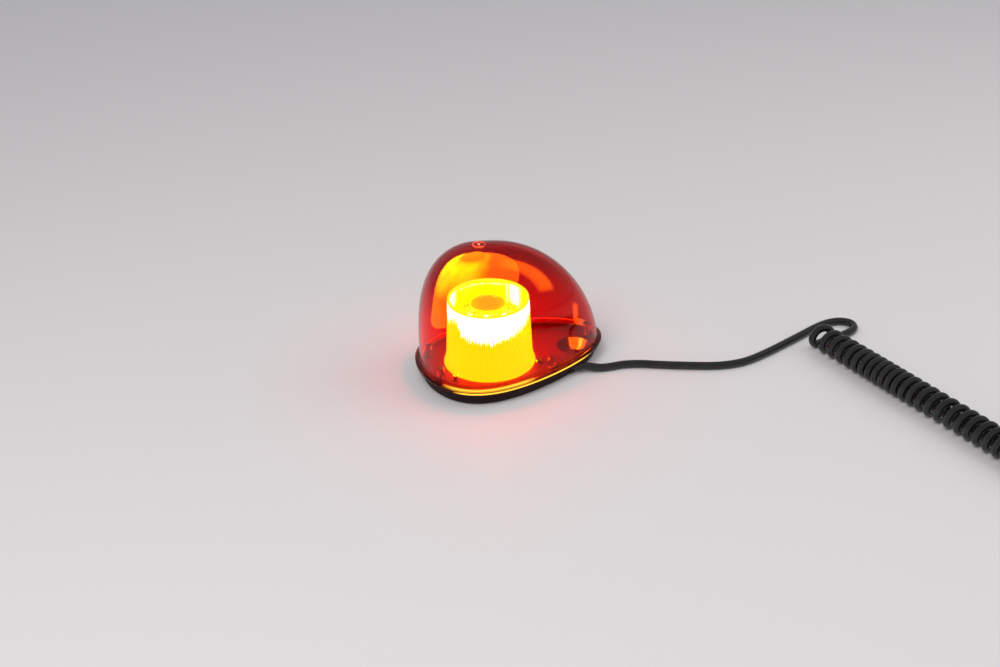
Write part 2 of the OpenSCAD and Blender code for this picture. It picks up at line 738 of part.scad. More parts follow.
// Steel plate that carries the motor, the lamp post and the rotor
module chassis() color("lightsteelblue") {
    translate([0, 0, chassis_z]) difference() {
        cylinder(r = chassis_radius, h = chassis_thickness);
        translate([0, 0, -1]) cylinder(r = post_outer + 0.05, h = chassis_thickness + 2);
        for (a = pillar_angles)
            rotate([0, 0, a]) translate([pillar_circle, 0, -1])
                cylinder(r = pass_hole, h = chassis_thickness + 2);
        rotate([0, 0, motor_angle]) translate([centre_distance, 0, -1]) {
            cylinder(r = 3.1, h = chassis_thickness + 2);
            for (y = [-motor_screw_y, motor_screw_y])
                translate([0, y, 0]) cylinder(r = small_shank + 0.2, h = chassis_thickness + 2, $fn = 24);
        }
        for (a = [20, 90, 270])
            rotate([0, 0, a]) translate([vent_circle, 0, -1])
                cylinder(r = vent_radius, h = chassis_thickness + 2);
    }
}

module chassis_screws() color("silver") {
    for (a = pillar_angles)
        rotate([0, 0, a]) translate([pillar_circle, 0, chassis_top])
            screw(screw_shank, chassis_thickness + pillar_screw_bite, screw_head, 1.5);
}

module motor_place() {
    rotate([0, 0, motor_angle]) translate([centre_distance, 0, 0]) children();
}

// Small motor with flats, its bearing boss up through the chassis and two solder tags below
module motor() color("silver") {
    motor_place() difference() {
        union() {
            translate([0, 0, motor_z]) intersection() {
                cylinder(r = motor_width / 2, h = motor_height);
                translate([-motor_flats / 2, -motor_width, 0])
                    cube([motor_flats, 2 * motor_width, motor_height]);
            }
            translate([0, 0, chassis_z - 0.5]) cylinder(r = 3, h = 0.5 + chassis_thickness);
            for (y = [-6, 6])
                translate([-1.2, y - 0.3, motor_z - 2]) cube([2.4, 0.6, 2.5]);
        }
        translate([0, 0, chassis_z - 14]) cylinder(r = shaft_radius + running_clearance, h = 20, $fn = 32);
        for (y = [-motor_screw_y, motor_screw_y])
            translate([0, y, chassis_z - 4]) cylinder(r = small_shank + 0.05, h = 5, $fn = 24);
    }
}

module motor_screws() color("silver") {
    motor_place()
        for (y = [-motor_screw_y, motor_screw_y])
            translate([0, y, chassis_top])
                screw(small_shank, chassis_thickness + motor_screw_bite, small_head, 0.7);
}

// Fixed hollow post: the bulb holder stands inside it and the turntable runs round it
module lamp_post() color("gainsboro") {
    difference() {
        union() {
            translate([0, 0, chassis_z - 4]) cylinder(r = post_outer, h = post_top - chassis_z + 4);
            translate([0, 0, chassis_z - 1.5]) cylinder(r = post_outer + 2, h = 1.5);
        }
        translate([0, 0, chassis_z - 5]) cylinder(r = post_inner, h = post_top - chassis_z + 6);
    }
}

module thrust_washer() color("whitesmoke") {
    translate([0, 0, chassis_top]) difference() {
        cylinder(r = post_outer + 3.4, h = 0.7);
        translate([0, 0, -1]) cylinder(r = post_outer + running_clearance, h = 3);
    }
}

// Spring ring that keeps the turntable on its post
module retaining_ring() color("silver") {
    translate([0, 0, ring_z]) difference() {
        cylinder(r = post_outer + 2.4, h = ring_thickness);
        translate([0, 0, -1]) cylinder(r = post_outer + 0.03, h = 3);
        translate([0, -1.5, -1]) cube([post_outer + 6, 3, 4]);
    }
}

// Bayonet sleeve with two hooked slots, closed below by an insulating disc
module lamp_socket() color("gold") {
    difference() {
        translate([0, 0, socket_bottom]) cylinder(r = socket_outer, h = post_top - socket_bottom - 2);
        translate([0, 0, socket_bottom + 1.2]) cylinder(r = socket_inner, h = post_top);
        translate([0, 0, socket_bottom - 1]) cylinder(r = 2.3, h = 4, $fn = 32);
        for (a = [0, 180])
            rotate([0, 0, a]) {
                translate([socket_inner - 1, -1.3, chassis_z - 0.2]) cube([3, 2.6, 20]);
                translate([socket_inner - 1, -1.3, chassis_z - 0.2]) cube([3, 4.2, 2.8]);
            }
    }
}

module socket_contact() color("goldenrod") {
    translate([0, 0, socket_bottom]) cylinder(r = 2.2, h = 2.2, $fn = 32);
    translate([0, 0, socket_bottom + 1.2]) cylinder(r = 3.2, h = 1, $fn = 32);
    translate([0, 0, socket_bottom + 2.2 - 0.2]) cylinder(r = 1.6, h = 0.95, $fn = 32);
}

module bulb_cap() color("silver") {
    translate([0, 0, bulb_cap_bottom]) cylinder(r = bulb_cap_radius, h = bulb_cap_top - bulb_cap_bottom);
    for (a = [0, 180])
        rotate([0, 0, a]) translate([bulb_cap_radius - 1, 1.6, chassis_z + 1.1])
            rotate([0, 90, 0]) cylinder(r = 1, h = 1.5, $fn = 24);
}

// Glass bulb: a neck that swells into a round globe, blown hollow
neck_radius = 6.6;
bulb_glass_wall = 0.7;
function globe_profile(g) =
    let (r = globe_radius - g, c = filament_z - 1 - bulb_cap_top)
    let (a0 = asin((neck_radius - g) / r))
    concat([[0, 0], [neck_radius - g, 0]],
        [for (i = [0 : 14]) let (a = 180 - a0 - (180 - a0) * i / 14) [r * sin(a), c - r * cos(180 - a)]]);
module bulb_glass() color("white", 0.5) {
    translate([0, 0, bulb_cap_top]) difference() {
        rotate_extrude($fn = 48) polygon(globe_profile(0));
        translate([0, 0, -0.01]) rotate_extrude($fn = 48) polygon(globe_profile(bulb_glass_wall));
    }
}

module filament() color("orange") {
    rotate([0, 0, rotor_rest_angle + 90]) {
        for (x = [-filament_length / 2, filament_length / 2])
            translate([x, 0, bulb_cap_top]) cylinder(r = 0.35, h = filament_z - bulb_cap_top, $fn = 16);
        translate([-filament_length / 2 - 0.5, 0, filament_z]) rotate([0, 90, 0])
            cylinder(r = 0.7, h = filament_length + 1, $fn = 16);
    }
}

// Involute gear outline: flank points from root to tip, mirrored over each tooth
pressure_angle = 20;
backlash = 0.06;
flank_steps = 4;
function involute(r, base) = r <= base ? 0 : let (a = acos(base / r)) tan(a) * 180 / PI - a;
function flank_angle(r, teeth) =
    let (pitch_r = gear_module * teeth / 2)
    let (base = pitch_r * cos(pressure_angle))
    90 / teeth - backlash / pitch_r * 90 / PI + involute(pitch_r, base) - involute(r, base);
function gear_outline(teeth, tip, root) =
    let (pitch_r = gear_module * teeth / 2)
    let (base = max(pitch_r * cos(pressure_angle), root + 0.02))
    let (radii = [for (i = [0 : flank_steps]) base + (tip - base) * i / flank_steps])
    [for (k = [0 : teeth - 1]) let (a = 360 * k / teeth) each concat(
        [polar(root, a - flank_angle(base, teeth))],
        [for (r = radii) polar(r, a - flank_angle(r, teeth))],
        [for (i = [flank_steps : -1 : 0]) polar(radii[i], a + flank_angle(radii[i], teeth))],
        [polar(root, a + flank_angle(base, teeth))])];
wheel_tip = gear_module * (turntable_teeth / 2 + 0.85);
wheel_root = gear_module * (turntable_teeth / 2 - 1.25);
pinion_tip = gear_module * (pinion_teeth / 2 + 1);
pinion_root = gear_module * (pinion_teeth / 2 - 1.15);

// Turntable: toothed wheel and platform in one moulding, running on the lamp post
module turntable() color("ivory") {
    difference() {
        union() {
            translate([0, 0, gear_z]) linear_extrude(gear_width + 0.1)
                polygon(gear_outline(turntable_teeth, wheel_tip, wheel_root));
            translate([0, 0, platform_z]) cylinder(r = platform_radius, h = platform_thickness);
        }
        translate([0, 0, gear_z - 1]) cylinder(r = post_outer + running_clearance, h = 12);
        rotate([0, 0, rotor_rest_angle])
            for (y = [-reflector_lug_y, reflector_lug_y])
                translate([reflector_lug_x, y, platform_z - 1]) cylinder(r = pilot_hole, h = 5);
    }
}

module rotor_place() {
    rotate([0, 0, rotor_rest_angle]) children();
}

// Parabolic mirror: a slice of a paraboloid whose focus is the filament
reflector_lug_x = -9;
reflector_lug_y = 17;
reflector_lug_top = 5;
reflector_bottom_z = platform_top + 1.1;
rim_of_reflector = sqrt(4 * focal_length * (focal_length + reflector_reach));
parabola_steps = 20;
function parabola(r) = r * r / (4 * focal_length) - focal_length;
module paraboloid(shift) {
    translate([0, 0, filament_z]) rotate([0, 90, 0]) rotate_extrude($fn = 72)
        polygon(concat(
            [for (i = [0 : parabola_steps]) let (r = rim_of_reflector * i / parabola_steps)
                [r, parabola(r) - shift]],
            [[0, parabola(rim_of_reflector) - shift]]));
}
module reflector_shell() {
    difference() {
        paraboloid(reflector_wall);
        paraboloid(0);
        for (z = [filament_z + reflector_top, reflector_bottom_z - lens_height])
            translate([-lens_height, -lens_height, z]) cube([2 * lens_height, 2 * lens_height, lens_height]);
        translate([reflector_reach - reflector_wall, -lens_height, 0])
            cube([lens_height, 2 * lens_height, 2 * lens_height]);
    }
}
module reflector() color("gainsboro") {
    rotor_place() difference() {
        union() {
            reflector_shell();
            for (y = [-reflector_lug_y, reflector_lug_y]) {
                translate([reflector_lug_x, y, platform_top])
                    cylinder(r = 3, h = reflector_lug_top, $fn = 32);
                translate([reflector_lug_x, y - 0.8, reflector_bottom_z]) cube([6, 1.6, 3.2]);
            }
            for (y = [-6, 6])
                translate([cap_lug_x, y, filament_z + reflector_top - 5]) {
                    cylinder(r = 2.2, h = 5, $fn = 32);
                    translate([0, -0.8, 0]) cube([4, 1.6, 5]);
                }
        }
        paraboloid(0);
        for (y = [-reflector_lug_y, reflector_lug_y])
            translate([reflector_lug_x, y, platform_top - 1]) cylinder(r = pass_hole, h = 12, $fn = 24);
        for (y = [-6, 6])
            translate([cap_lug_x, y, filament_z]) cylinder(r = small_shank + 0.05, h = 20, $fn = 24);
    }
}

module reflector_screws() color("silver") {
    rotor_place()
        for (y = [-reflector_lug_y, reflector_lug_y])
            translate([reflector_lug_x, y, platform_top + reflector_lug_top])
                screw(screw_shank, reflector_lug_top + platform_thickness - 0.2, screw_head, head_height);
}

// Round cap on the reflector's top edge, which hides the bulb from above
cap_lug_x = -12;
cap_z = filament_z + reflector_top;
module rotor_cap() color("orange") {
    rotor_place() translate([0, 0, cap_z]) difference() {
        rotate_extrude($fn = 72) polygon([[0, 0], [rotor_cap_radius, 0],
            [rotor_cap_radius, rotor_cap_thickness * 0.6], [rotor_cap_radius - 0.5, rotor_cap_thickness],
            [0, rotor_cap_thickness]]);
        for (y = [-6, 6])
            translate([cap_lug_x, y, -1]) cylinder(r = small_shank + 0.2, h = 5, $fn = 24);
    }
}

module rotor_cap_screws() color("silver") {
    rotor_place()
        for (y = [-6, 6])
            translate([cap_lug_x, y, cap_z + rotor_cap_thickness])
                screw(small_shank, rotor_cap_thickness + 3.5, small_head, small_head_height);
}

shaft_depth = 13.5;
module motor_shaft() color("silver") {
    motor_place() translate([0, 0, chassis_z - shaft_depth])
        cylinder(r = shaft_radius, h = shaft_depth + platform_z - chassis_z - 0.4, $fn = 32);
}

module pinion() color("khaki") {
    motor_place() translate([0, 0, gear_z]) difference() {
        linear_extrude(gear_width - 0.3) rotate([0, 0, pinion_phase])
            polygon(gear_outline(pinion_teeth, pinion_tip, pinion_root));
        translate([0, 0, -1]) cylinder(r = shaft_radius + 0.02, h = gear_width + 2, $fn = 32);
    }
}

// Turn that sets a pinion gap on the wheel tooth nearest the line of centres
wheel_offset = motor_angle * turntable_teeth / 360 - round(motor_angle * turntable_teeth / 360);
pinion_phase = 180 + wheel_offset * 360 / pinion_teeth + 180 / pinion_teeth;

module floor_lead() color("dimgray") {
    p = curl_path();
    joined_lead(concat(floor_route, [p[0]]), false, unit(p[1] - p[0]), cord_radius, 10, 2);
}

module plug_lead() color("dimgray") {
    p = curl_path();
    last = len(p) - 1;
    joined_lead(concat([p[last]], plug_route), true, unit(p[last] - p[last - 1]), cord_radius, 10, 2);
}

// Distance along the axis after u curls; the pitch swings once, then stays even
swing = curl_pitch_swing * curl_pitch_period / 2 / PI;
function curl_run(u) = u < curl_pitch_period
    ? curl_mean_pitch * u + swing * sin(360 * u / curl_pitch_period)
    : curl_mean_pitch * curl_pitch_period + curl_far_pitch * (u - curl_pitch_period);
// The same, eased into a plain hoop over the first and the last curl
function eased_run(u) =
    let (v = curl_count - u)
    u < 1 ? curl_run(u) * sin(90 * u)
        : v < 1 ? curl_run(curl_count) - curl_far_pitch * v * sin(90 * v)
        : curl_run(u);

// Place and heading of the curly cord's axis after s millimetres
function axis_heading(s) =
    curl_heading + 180 * min(1, max(0, (s - curl_first_run) / (PI * curl_turn_radius)));
function axis_place(s) =
    let (d0 = [cos(curl_heading), sin(curl_heading)], left = [-d0.y, d0.x])
    let (p1 = curl_start + curl_first_run * d0)
    let (turn_length = PI * curl_turn_radius)
    s <= curl_first_run ? curl_start + s * d0
        : s >= curl_first_run + turn_length
        ? p1 + 2 * curl_turn_radius * left - (s - curl_first_run - turn_length) * d0
        : let (a = 180 * (s - curl_first_run) / turn_length)
            p1 + curl_turn_radius * (left + turn2(-left, a));
function curl_point(u) =
    let (s = eased_run(u), h = axis_heading(s), a = 360 * u - 90)
    concat(axis_place(s), [curl_outer_diameter / 2 + 0.1])
        + curl_radius * [cos(a) * sin(h), -cos(a) * cos(h), sin(a)];
function curl_path() =
    let (n = curl_count * curl_rings)
    let (body = [for (i = [0 : n]) curl_point(i / curl_rings)])
    let (h0 = axis_heading(0), h1 = axis_heading(eased_run(curl_count)))
    concat([body[0] - cord_diameter * [sin(h0), -cos(h0), 0]], body,
        [body[n] + cord_diameter * [sin(h1), -cos(h1), 0]]);

// Curly cord: one unbroken tube wound round the axis
module curly_cord() color("dimgray") {
    p = curl_path();
    tangents = [for (i = [0 : len(p) - 1]) i < 2 || i > len(p) - 3
        ? unit(i < 2 ? p[1] - p[0] : p[len(p) - 1] - p[len(p) - 2]) : tangent(p, i)];
    last_point = len(p) - 1;
    gap = min([for (i = [0 : last_point])
        for (j = [i + curl_rings - 3 : 1 : min(i + curl_rings + 3, last_point)])
            norm(p[i] - p[j])]) - cord_diameter;
    echo(least_gap_of_curls = gap);
    rings = [for (i = [0 : len(p) - 1]) each curl_ring(p, tangents, i)];
    last = len(p) - 1;
    polyhedron(concat(rings, [p[0], p[last]]), concat(
        [for (i = [0 : last - 1]) each strip(i, i + 1, curl_sides)],
        flip(fan(0, curl_sides, len(rings))),
        fan(last, curl_sides, len(rings) + 1)));
}
// A ring of the curly cord, turned with the axis heading so that the tube doesn't twist
function curl_ring(p, tangents, i) =
    let (u = (i - 1) / curl_rings, h = axis_heading(eased_run(max(0, min(curl_count, u)))))
    let (along = [cos(h), sin(h), 0], t = tangents[i])
    let (a = unit(along - (along * t) * t), b = cross(t, a))
    [for (k = [0 : curl_sides - 1])
        p[i] + cord_radius * (cos(360 * k / curl_sides) * b + sin(360 * k / curl_sides) * a)];

// Places a piece along the plug's axis, from the rear of its grip towards the tip
module plug_place() {
    translate([plug_rear.x, plug_rear.y, grip_radius]) rotate([0, 0, plug_heading]) rotate([0, 90, 0])
        rotate([0, 0, 180]) children();
}

module plug_relief() color("dimgray") {
    plug_place() difference() {
        union() {
            translate([0, 0, -relief_length])
                cylinder(r1 = cord_radius + 1.2, r2 = relief_radius - 0.1, h = relief_length + 3);
            translate([0, 0, relief_collar_z]) cylinder(r = relief_radius + 1.4, h = 2);
            cylinder(r = relief_radius - 0.1, h = relief_collar_z + 0.1);
            for (i = [1 : 4])
                translate([0, 0, -relief_length + i * 4.8]) cylinder(r = relief_radius, h = 1.6);
        }
        translate([0, 0, -relief_length - 1])
            cylinder(r = cord_radius + running_clearance, h = relief_length + 15);
    }
}

// Outer profile of the plug's shell, set in by e
function plug_profile(e) = [[0, e], [8 - e, e], [grip_radius - e, 6 + e * 0.6],
    [grip_radius - e, grip_length - 3 - e * 0.6], [barrel_radius - e, grip_length - e * 0.4],
    [barrel_radius - e, plug_length - e], [0, plug_length - e]];

// Both halves of the plug's shell in one piece, before they are parted at their seam
module plug_shell() {
    plug_place() difference() {
        union() {
            difference() {
                union() {
                    rotate_extrude() polygon(plug_profile(0));
                    for (i = [0 : 11])
                        rotate([0, 0, 30 * i + 15]) translate([grip_radius - 0.5, -0.7, 9])
                            cube([0.75, 1.4, grip_length - 16]);
                }
                rotate_extrude() polygon(plug_profile(plug_wall));
            }
            for (y = [-plug_screw_y, plug_screw_y])
                translate([-plug_boss_reach, y, plug_screw_z]) rotate([0, 90, 0])
                    cylinder(r = 2.3, h = 2 * plug_boss_reach, $fn = 32);
            translate([0, 0, fuse_z - 1.6]) cylinder(r = grip_radius - plug_wall + 0.1, h = 1.5);
        }
        translate([0, 0, -1]) cylinder(r = relief_radius, h = relief_collar_z);
        translate([0, 0, fuse_z - 3]) cylinder(r = 2, h = 6, $fn = 32);
        translate([0, 0, plug_length - 5]) cylinder(r = nose_spigot_radius + 0.1, h = 10);
        for (a = [90, 270])
            rotate([0, 0, a]) translate([barrel_radius - 4, -2.6, blade_z + 0.5])
                cube([8, 5.2, blade_length - 1]);
        for (y = [-plug_screw_y, plug_screw_y])
            translate([0, y, plug_screw_z]) rotate([0, 90, 0]) {
                translate([0, 0, -20]) cylinder(r = small_head + 0.2, h = 20 - plug_screw_seat, $fn = 32);
                translate([0, 0, -10]) cylinder(r = small_shank + 0.05, h = 15, $fn = 24);
            }
        translate([0, -switch_width / 2 - 0.2, switch_z - switch_window / 2])
            cube([20, switch_width + 0.4, switch_window]);
    }
}

module plug_half(upper) {
    difference() {
        plug_shell();
        plug_place() translate([upper ? -40 : 0, -40, -5]) cube([40, 80, plug_length + 10]);
    }
}

module plug_shell_upper() color("dimgray") {
    plug_half(true);
}

module plug_shell_lower() color("dimgray") {
    plug_half(false);
}

module plug_shell_screws() color("silver") {
    plug_place()
        for (y = [-plug_screw_y, plug_screw_y])
            translate([-plug_screw_seat, y, plug_screw_z]) rotate([0, -90, 0])
                screw(small_shank, plug_screw_seat + 3.5, small_head, small_head_height);
}

module plug_nose() color("dimgray") {
    plug_place() translate([0, 0, plug_length]) difference() {
        union() {
            translate([0, 0, -5]) cylinder(r = nose_spigot_radius, h = 5);
            cylinder(r1 = barrel_radius - 0.7, r2 = barrel_radius - 2.8, h = nose_length);
        }
        translate([0, 0, -10]) cylinder(r = nose_spigot_radius - 2, h = 10 + tip_flange_z + tip_flange);
        cylinder(r = tip_radius + running_clearance, h = 20, $fn = 32);
    }
}

// Sprung brass pin at the tip, held by its flange behind the nose
module plug_tip() color("goldenrod") {
    plug_place() translate([0, 0, plug_length]) {
        translate([0, 0, tip_flange_z - 1.4])
            cylinder(r = tip_radius, h = nose_length + 2.9 - tip_flange_z, $fn = 32);
        translate([0, 0, nose_length + 1.4]) cylinder(r1 = tip_radius, r2 = 1.4, h = 2.6, $fn = 32);
        translate([0, 0, tip_flange_z]) cylinder(r = nose_spigot_radius - 2.5, h = tip_flange, $fn = 32);
    }
}

// Coil spring between the fuse and the pin
spring_turns = 6;
module plug_tip_spring() color("silver") {
    z0 = fuse_z + fuse_length + spring_wire;
    z1 = plug_length + tip_flange_z - spring_wire;
    n = spring_turns * 8;
    rise = (z1 - z0) / spring_turns / 2 / PI / spring_radius;
    p = [for (i = [0 : n]) concat(polar(spring_radius, 45 * i), [z0 + (z1 - z0) * i / n])];
    tangents = [for (i = [0 : n]) unit([-sin(45 * i), cos(45 * i), rise])];
    plug_place() swept_tube(p, tangents, spring_wire, 6);
}

module plug_fuse() color("white") {
    plug_place() translate([0, 0, fuse_z]) {
        cylinder(r = 3.1, h = 6, $fn = 32);
        translate([0, 0, 5.9]) cylinder(r = 2.9, h = fuse_length - 11.8, $fn = 32);
        translate([0, 0, fuse_length - 6]) cylinder(r = 3.1, h = 6, $fn = 32);
    }
}

// Spring blade: its foot lies inside the barrel, and it bows out through the slot
blade_line = [[0, 0], [1.5, 0], [4, 1.4], [7, 2.9], [9, 3.4], [11, 2.9], [blade_length - 1.2, 0.9]];
module side_contact() {
    translate([blade_foot_radius, 2.2, blade_z]) rotate([90, 0, 0]) linear_extrude(4.4)
        polygon(concat([for (q = blade_line) [q.y, q.x]],
            [for (i = [len(blade_line) - 1 : -1 : 0]) let (q = blade_line[i])
                [q.y - blade_thickness, q.x]]));
}

module side_contact_left() color("silver") {
    plug_place() rotate([0, 0, 90]) side_contact();
}

module side_contact_right() color("silver") {
    plug_place() rotate([0, 0, 270]) side_contact();
}

// Carrier of the rocker switch, with an ear on each side for its pin
module switch_base() color("gray") {
    plug_place() difference() {
        union() {
            translate([switch_pivot_x - 7, -switch_width / 2 - 1.2, switch_z - 6.5])
                cube([4, switch_width + 2.4, 13]);
            for (y = [-switch_width / 2 - 1.2, switch_width / 2 + 0.2])
                translate([switch_pivot_x - 4, y, switch_z - 2.2]) cube([6, 1, 4.4]);
        }
        translate([switch_pivot_x, 20, switch_z]) rotate([90, 0, 0])
            cylinder(r = 1 + running_clearance, h = 40, $fn = 32);
    }
}

// Rocker, drawn level and then tipped to its off position
module plug_switch() color("firebrick") {
    plug_place() translate([switch_pivot_x, 0, switch_z]) rotate([0, switch_tilt, 0]) {
        rotate([90, 0, 0]) translate([0, 0, -switch_width / 2]) linear_extrude(switch_width)
            polygon([[-1.5, -switch_half], [6, -switch_half], [5.2, -2.5], [4.9, 0], [5.2, 2.5],
                [6, switch_half], [-1.5, switch_half], [-2.2, 2.5], [-2.2, -2.5]]);
        translate([0, switch_width / 2 + 1.2, 0]) rotate([90, 0, 0])
            cylinder(r = 1, h = switch_width + 2.4, $fn = 32);
    }
}

magnet_boot();
magnet();
pole_plate();
magnet_bolt();
magnet_nut();
base_plate();
base_screws();
tray();
gasket();
dome();
dome_screws();
cable_grommet();
wire_clamp();
clamp_screws();
live_wire();
earth_wire();
lens();
lens_screws();
chassis_pillars();
pillar_screws();
chassis();
chassis_screws();
motor();
motor_screws();
lamp_post();
thrust_washer();
retaining_ring();
lamp_socket();
socket_contact();
bulb_cap();
bulb_glass();
filament();
turntable();
reflector();
reflector_screws();
rotor_cap();
rotor_cap_screws();
motor_shaft();
pinion();
floor_lead();
curly_cord();
plug_lead();
plug_relief();
plug_shell_upper();
plug_shell_lower();
plug_shell_screws();
plug_nose();
plug_tip();
plug_tip_spring();
plug_fuse();
side_contact_left();
side_contact_right();
switch_base();
plug_switch();
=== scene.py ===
"""Rotating beacon light: a clear red teardrop dome over a lit, fluted lens on a black magnetic tray,
with a lead, a curly cord and a plug. Metres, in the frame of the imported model."""

import json
import math

import bpy
import numpy as np
from mathutils import Matrix, Vector


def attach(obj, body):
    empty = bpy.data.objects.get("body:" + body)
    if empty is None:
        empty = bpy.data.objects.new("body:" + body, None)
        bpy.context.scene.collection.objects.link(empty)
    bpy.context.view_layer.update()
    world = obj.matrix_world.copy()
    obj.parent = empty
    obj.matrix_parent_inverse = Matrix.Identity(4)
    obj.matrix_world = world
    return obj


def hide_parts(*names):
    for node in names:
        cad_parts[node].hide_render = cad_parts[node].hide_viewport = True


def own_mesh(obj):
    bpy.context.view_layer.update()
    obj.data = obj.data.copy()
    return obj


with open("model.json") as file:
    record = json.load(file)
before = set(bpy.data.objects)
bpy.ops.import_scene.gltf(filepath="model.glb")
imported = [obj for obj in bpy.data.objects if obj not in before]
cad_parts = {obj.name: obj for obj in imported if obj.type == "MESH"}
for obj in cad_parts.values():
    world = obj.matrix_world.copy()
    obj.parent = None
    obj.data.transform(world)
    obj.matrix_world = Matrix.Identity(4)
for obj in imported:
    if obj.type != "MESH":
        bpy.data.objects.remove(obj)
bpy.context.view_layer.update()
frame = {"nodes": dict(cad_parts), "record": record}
nodes = frame["nodes"]
MM = 0.001
TAU = 2 * math.pi

# Camera

AZIMUTH, ELEVATION, ROLL = (math.radians(a) for a in (-24.42, 29.72, -1.26))
BACK, SHIFT_SIDE, SHIFT_UP = 1259.51, 9.37, 32.69
FOCAL_LENGTH, SENSOR_WIDTH = 50.0, 36.0


def aim_camera():
    """The photograph's view. The camera looks at the origin from this azimuth, elevation and distance
    in millimetres, rolled and then shifted sideways and up."""
    az, el = AZIMUTH, ELEVATION
    back = np.array([math.sin(az) * math.cos(el), -math.cos(az) * math.cos(el), math.sin(el)])
    right = np.array([math.cos(az), math.sin(az), 0.0])
    up = np.cross(right, -back)
    side = right * math.cos(ROLL) + up * math.sin(ROLL)
    top = up * math.cos(ROLL) - right * math.sin(ROLL)
    eye = (back * BACK + side * SHIFT_SIDE + top * SHIFT_UP) * MM
    data = bpy.data.cameras.new("camera")
    data.lens, data.sensor_width, data.clip_start, data.clip_end = FOCAL_LENGTH, SENSOR_WIDTH, 0.01, 50.0
    camera = bpy.data.objects.new("camera", data)
    bpy.context.scene.collection.objects.link(camera)
    place = np.eye(4)
    place[:3, 0], place[:3, 1], place[:3, 2], place[:3, 3] = side, top, back, eye
    camera.matrix_world = Matrix(place.tolist())
    bpy.context.scene.camera = camera


aim_camera()

# Meshes from grids of points


def new_piece(name, points, faces, body, material):
    """A smooth object with these vertices and faces, at the origin, riding on a body."""
    mesh = bpy.data.meshes.new(name)
    mesh.from_pydata(np.asarray(points, float).tolist(), [], [list(map(int, f)) for f in faces])
    mesh.validate()
    mesh.polygons.foreach_set("use_smooth", np.ones(len(mesh.polygons), bool))
    mesh.materials.append(material)
    piece = bpy.data.objects.new(name, mesh)
    bpy.context.scene.collection.objects.link(piece)
    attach(piece, body)
    return piece


def grid_faces(rows, columns, start=0, flip=False):
    """Quads between neighbouring rows of a grid whose last column joins its first."""
    i = np.arange(rows - 1)[:, None] * columns
    j = np.arange(columns)[None, :]
    k = (j + 1) % columns
    quads = np.stack([i + j, i + k, i + columns + k, i + columns + j], axis=-1).reshape(-1, 4) + start
    return quads[:, ::-1] if flip else quads


def bridge_faces(first, second, columns):
    """Quads from the row that starts at one vertex to the row that starts at another."""
    j, k = np.arange(columns), (np.arange(columns) + 1) % columns
    return np.stack([first + j, first + k, second + k, second + j], axis=1)


def fan_faces(ring, tip, flip=False):
    """Triangles from a ring's vertices to one tip vertex."""
    f = np.stack([ring, np.roll(ring, -1), np.full(len(ring), tip)], axis=1)
    return f[:, ::-1] if flip else f


def unit(v):
    """Each row divided by its length."""
    return v / np.linalg.norm(v, axis=-1, keepdims=True)


# The cord's route in millimetres, as in the CAD source

CORD_RADIUS = 3.5
CORD_SIDES = 14
SPAN_PARTS = 5
ENTRY = np.array([69.5, -39.3, 6.25])
ENTRY_ANGLE = math.radians(-28.1)


def entry_line(d):
    """Point on the axis of the cable entry, d millimetres outwards from the tray's skirt."""
    return ENTRY + d * np.array([math.cos(ENTRY_ANGLE), math.sin(ENTRY_ANGLE), 0.0])


FLOOR_ROUTE = [entry_line(d) for d in (-8, -1, 4.5, 7)] + [
    (80.5, -45, 5.4), (88, -47.8, 4), (97, -49.8, 3.6), (110, -52, 3.6), (123, -57.3, 3.6),
    (137, -66, 3.6), (151, -74.4, 3.6), (165, -82.3, 3.6), (180, -90, 3.6), (195, -95, 3.6),
    (212, -96.5, 3.6), (234, -93, 3.6), (258, -87, 3.6), (282, -80.5, 3.6), (304, -74.5, 3.6),
    (320, -72.5, 3.6), (332, -75.5, 3.6), (338, -83.5, 3.6), (334, -92.5, 3.6), (322, -96.8, 3.6),
    (308, -98, 3.6)]
PLUG_ROUTE = [
    (403, -286, 3.6), (412, -278, 3.6), (419, -267, 3.6), (428, -258, 3.8), (440, -254, 4.5),
    (452, -258, 6.5), (459, -268, 9.5), (461, -280, 12.3), (461, -290, 13.5), (461, -300, 13.5),
    (461, -318, 13.5)]
CURLS, CURL_STEPS, CURL_RADIUS, CURL_Z = 42, 24, 9.0, 12.6
CURL_START, CURL_HEADING = np.array([288.0, -100.0]), math.radians(-83.5)
CURL_RUN, CURL_TURN = 245.0, 38.0
PITCH, PITCH_SWING, SWING_CURLS, FAR_PITCH = 9.5, 1.8, 17.8, 10


def spline(points):
    """Smooth curve through the points: on each span a cubic whose slope at either end is half the
    chord between that end's two neighbours."""
    p = np.asarray(points, float)
    i = np.arange(len(p) - 1)
    a, b, c, d = p[np.maximum(i - 1, 0)], p[i], p[i + 1], p[np.minimum(i + 2, len(p) - 1)]
    u = (np.arange(SPAN_PARTS) / SPAN_PARTS)[None, :, None]
    a, b, c, d = (q[:, None] for q in (a, b, c, d))
    q = 0.5 * (2 * b + (c - a) * u + (2 * a - 5 * b + 4 * c - d) * u**2 + (3 * b - a - 3 * c + d) * u**3)
    return np.vstack([q.reshape(-1, 3), p[-1:]])


def curl_run(u):
    """Distance along the curly cord's axis after u curls: the pitch swings slowly once round its mean
    over the first curls, then stays even."""
    swing = PITCH_SWING * SWING_CURLS / TAU
    early = PITCH * u + swing * np.sin(TAU * u / SWING_CURLS)
    return np.where(u < SWING_CURLS, early, PITCH * SWING_CURLS + FAR_PITCH * (u - SWING_CURLS))


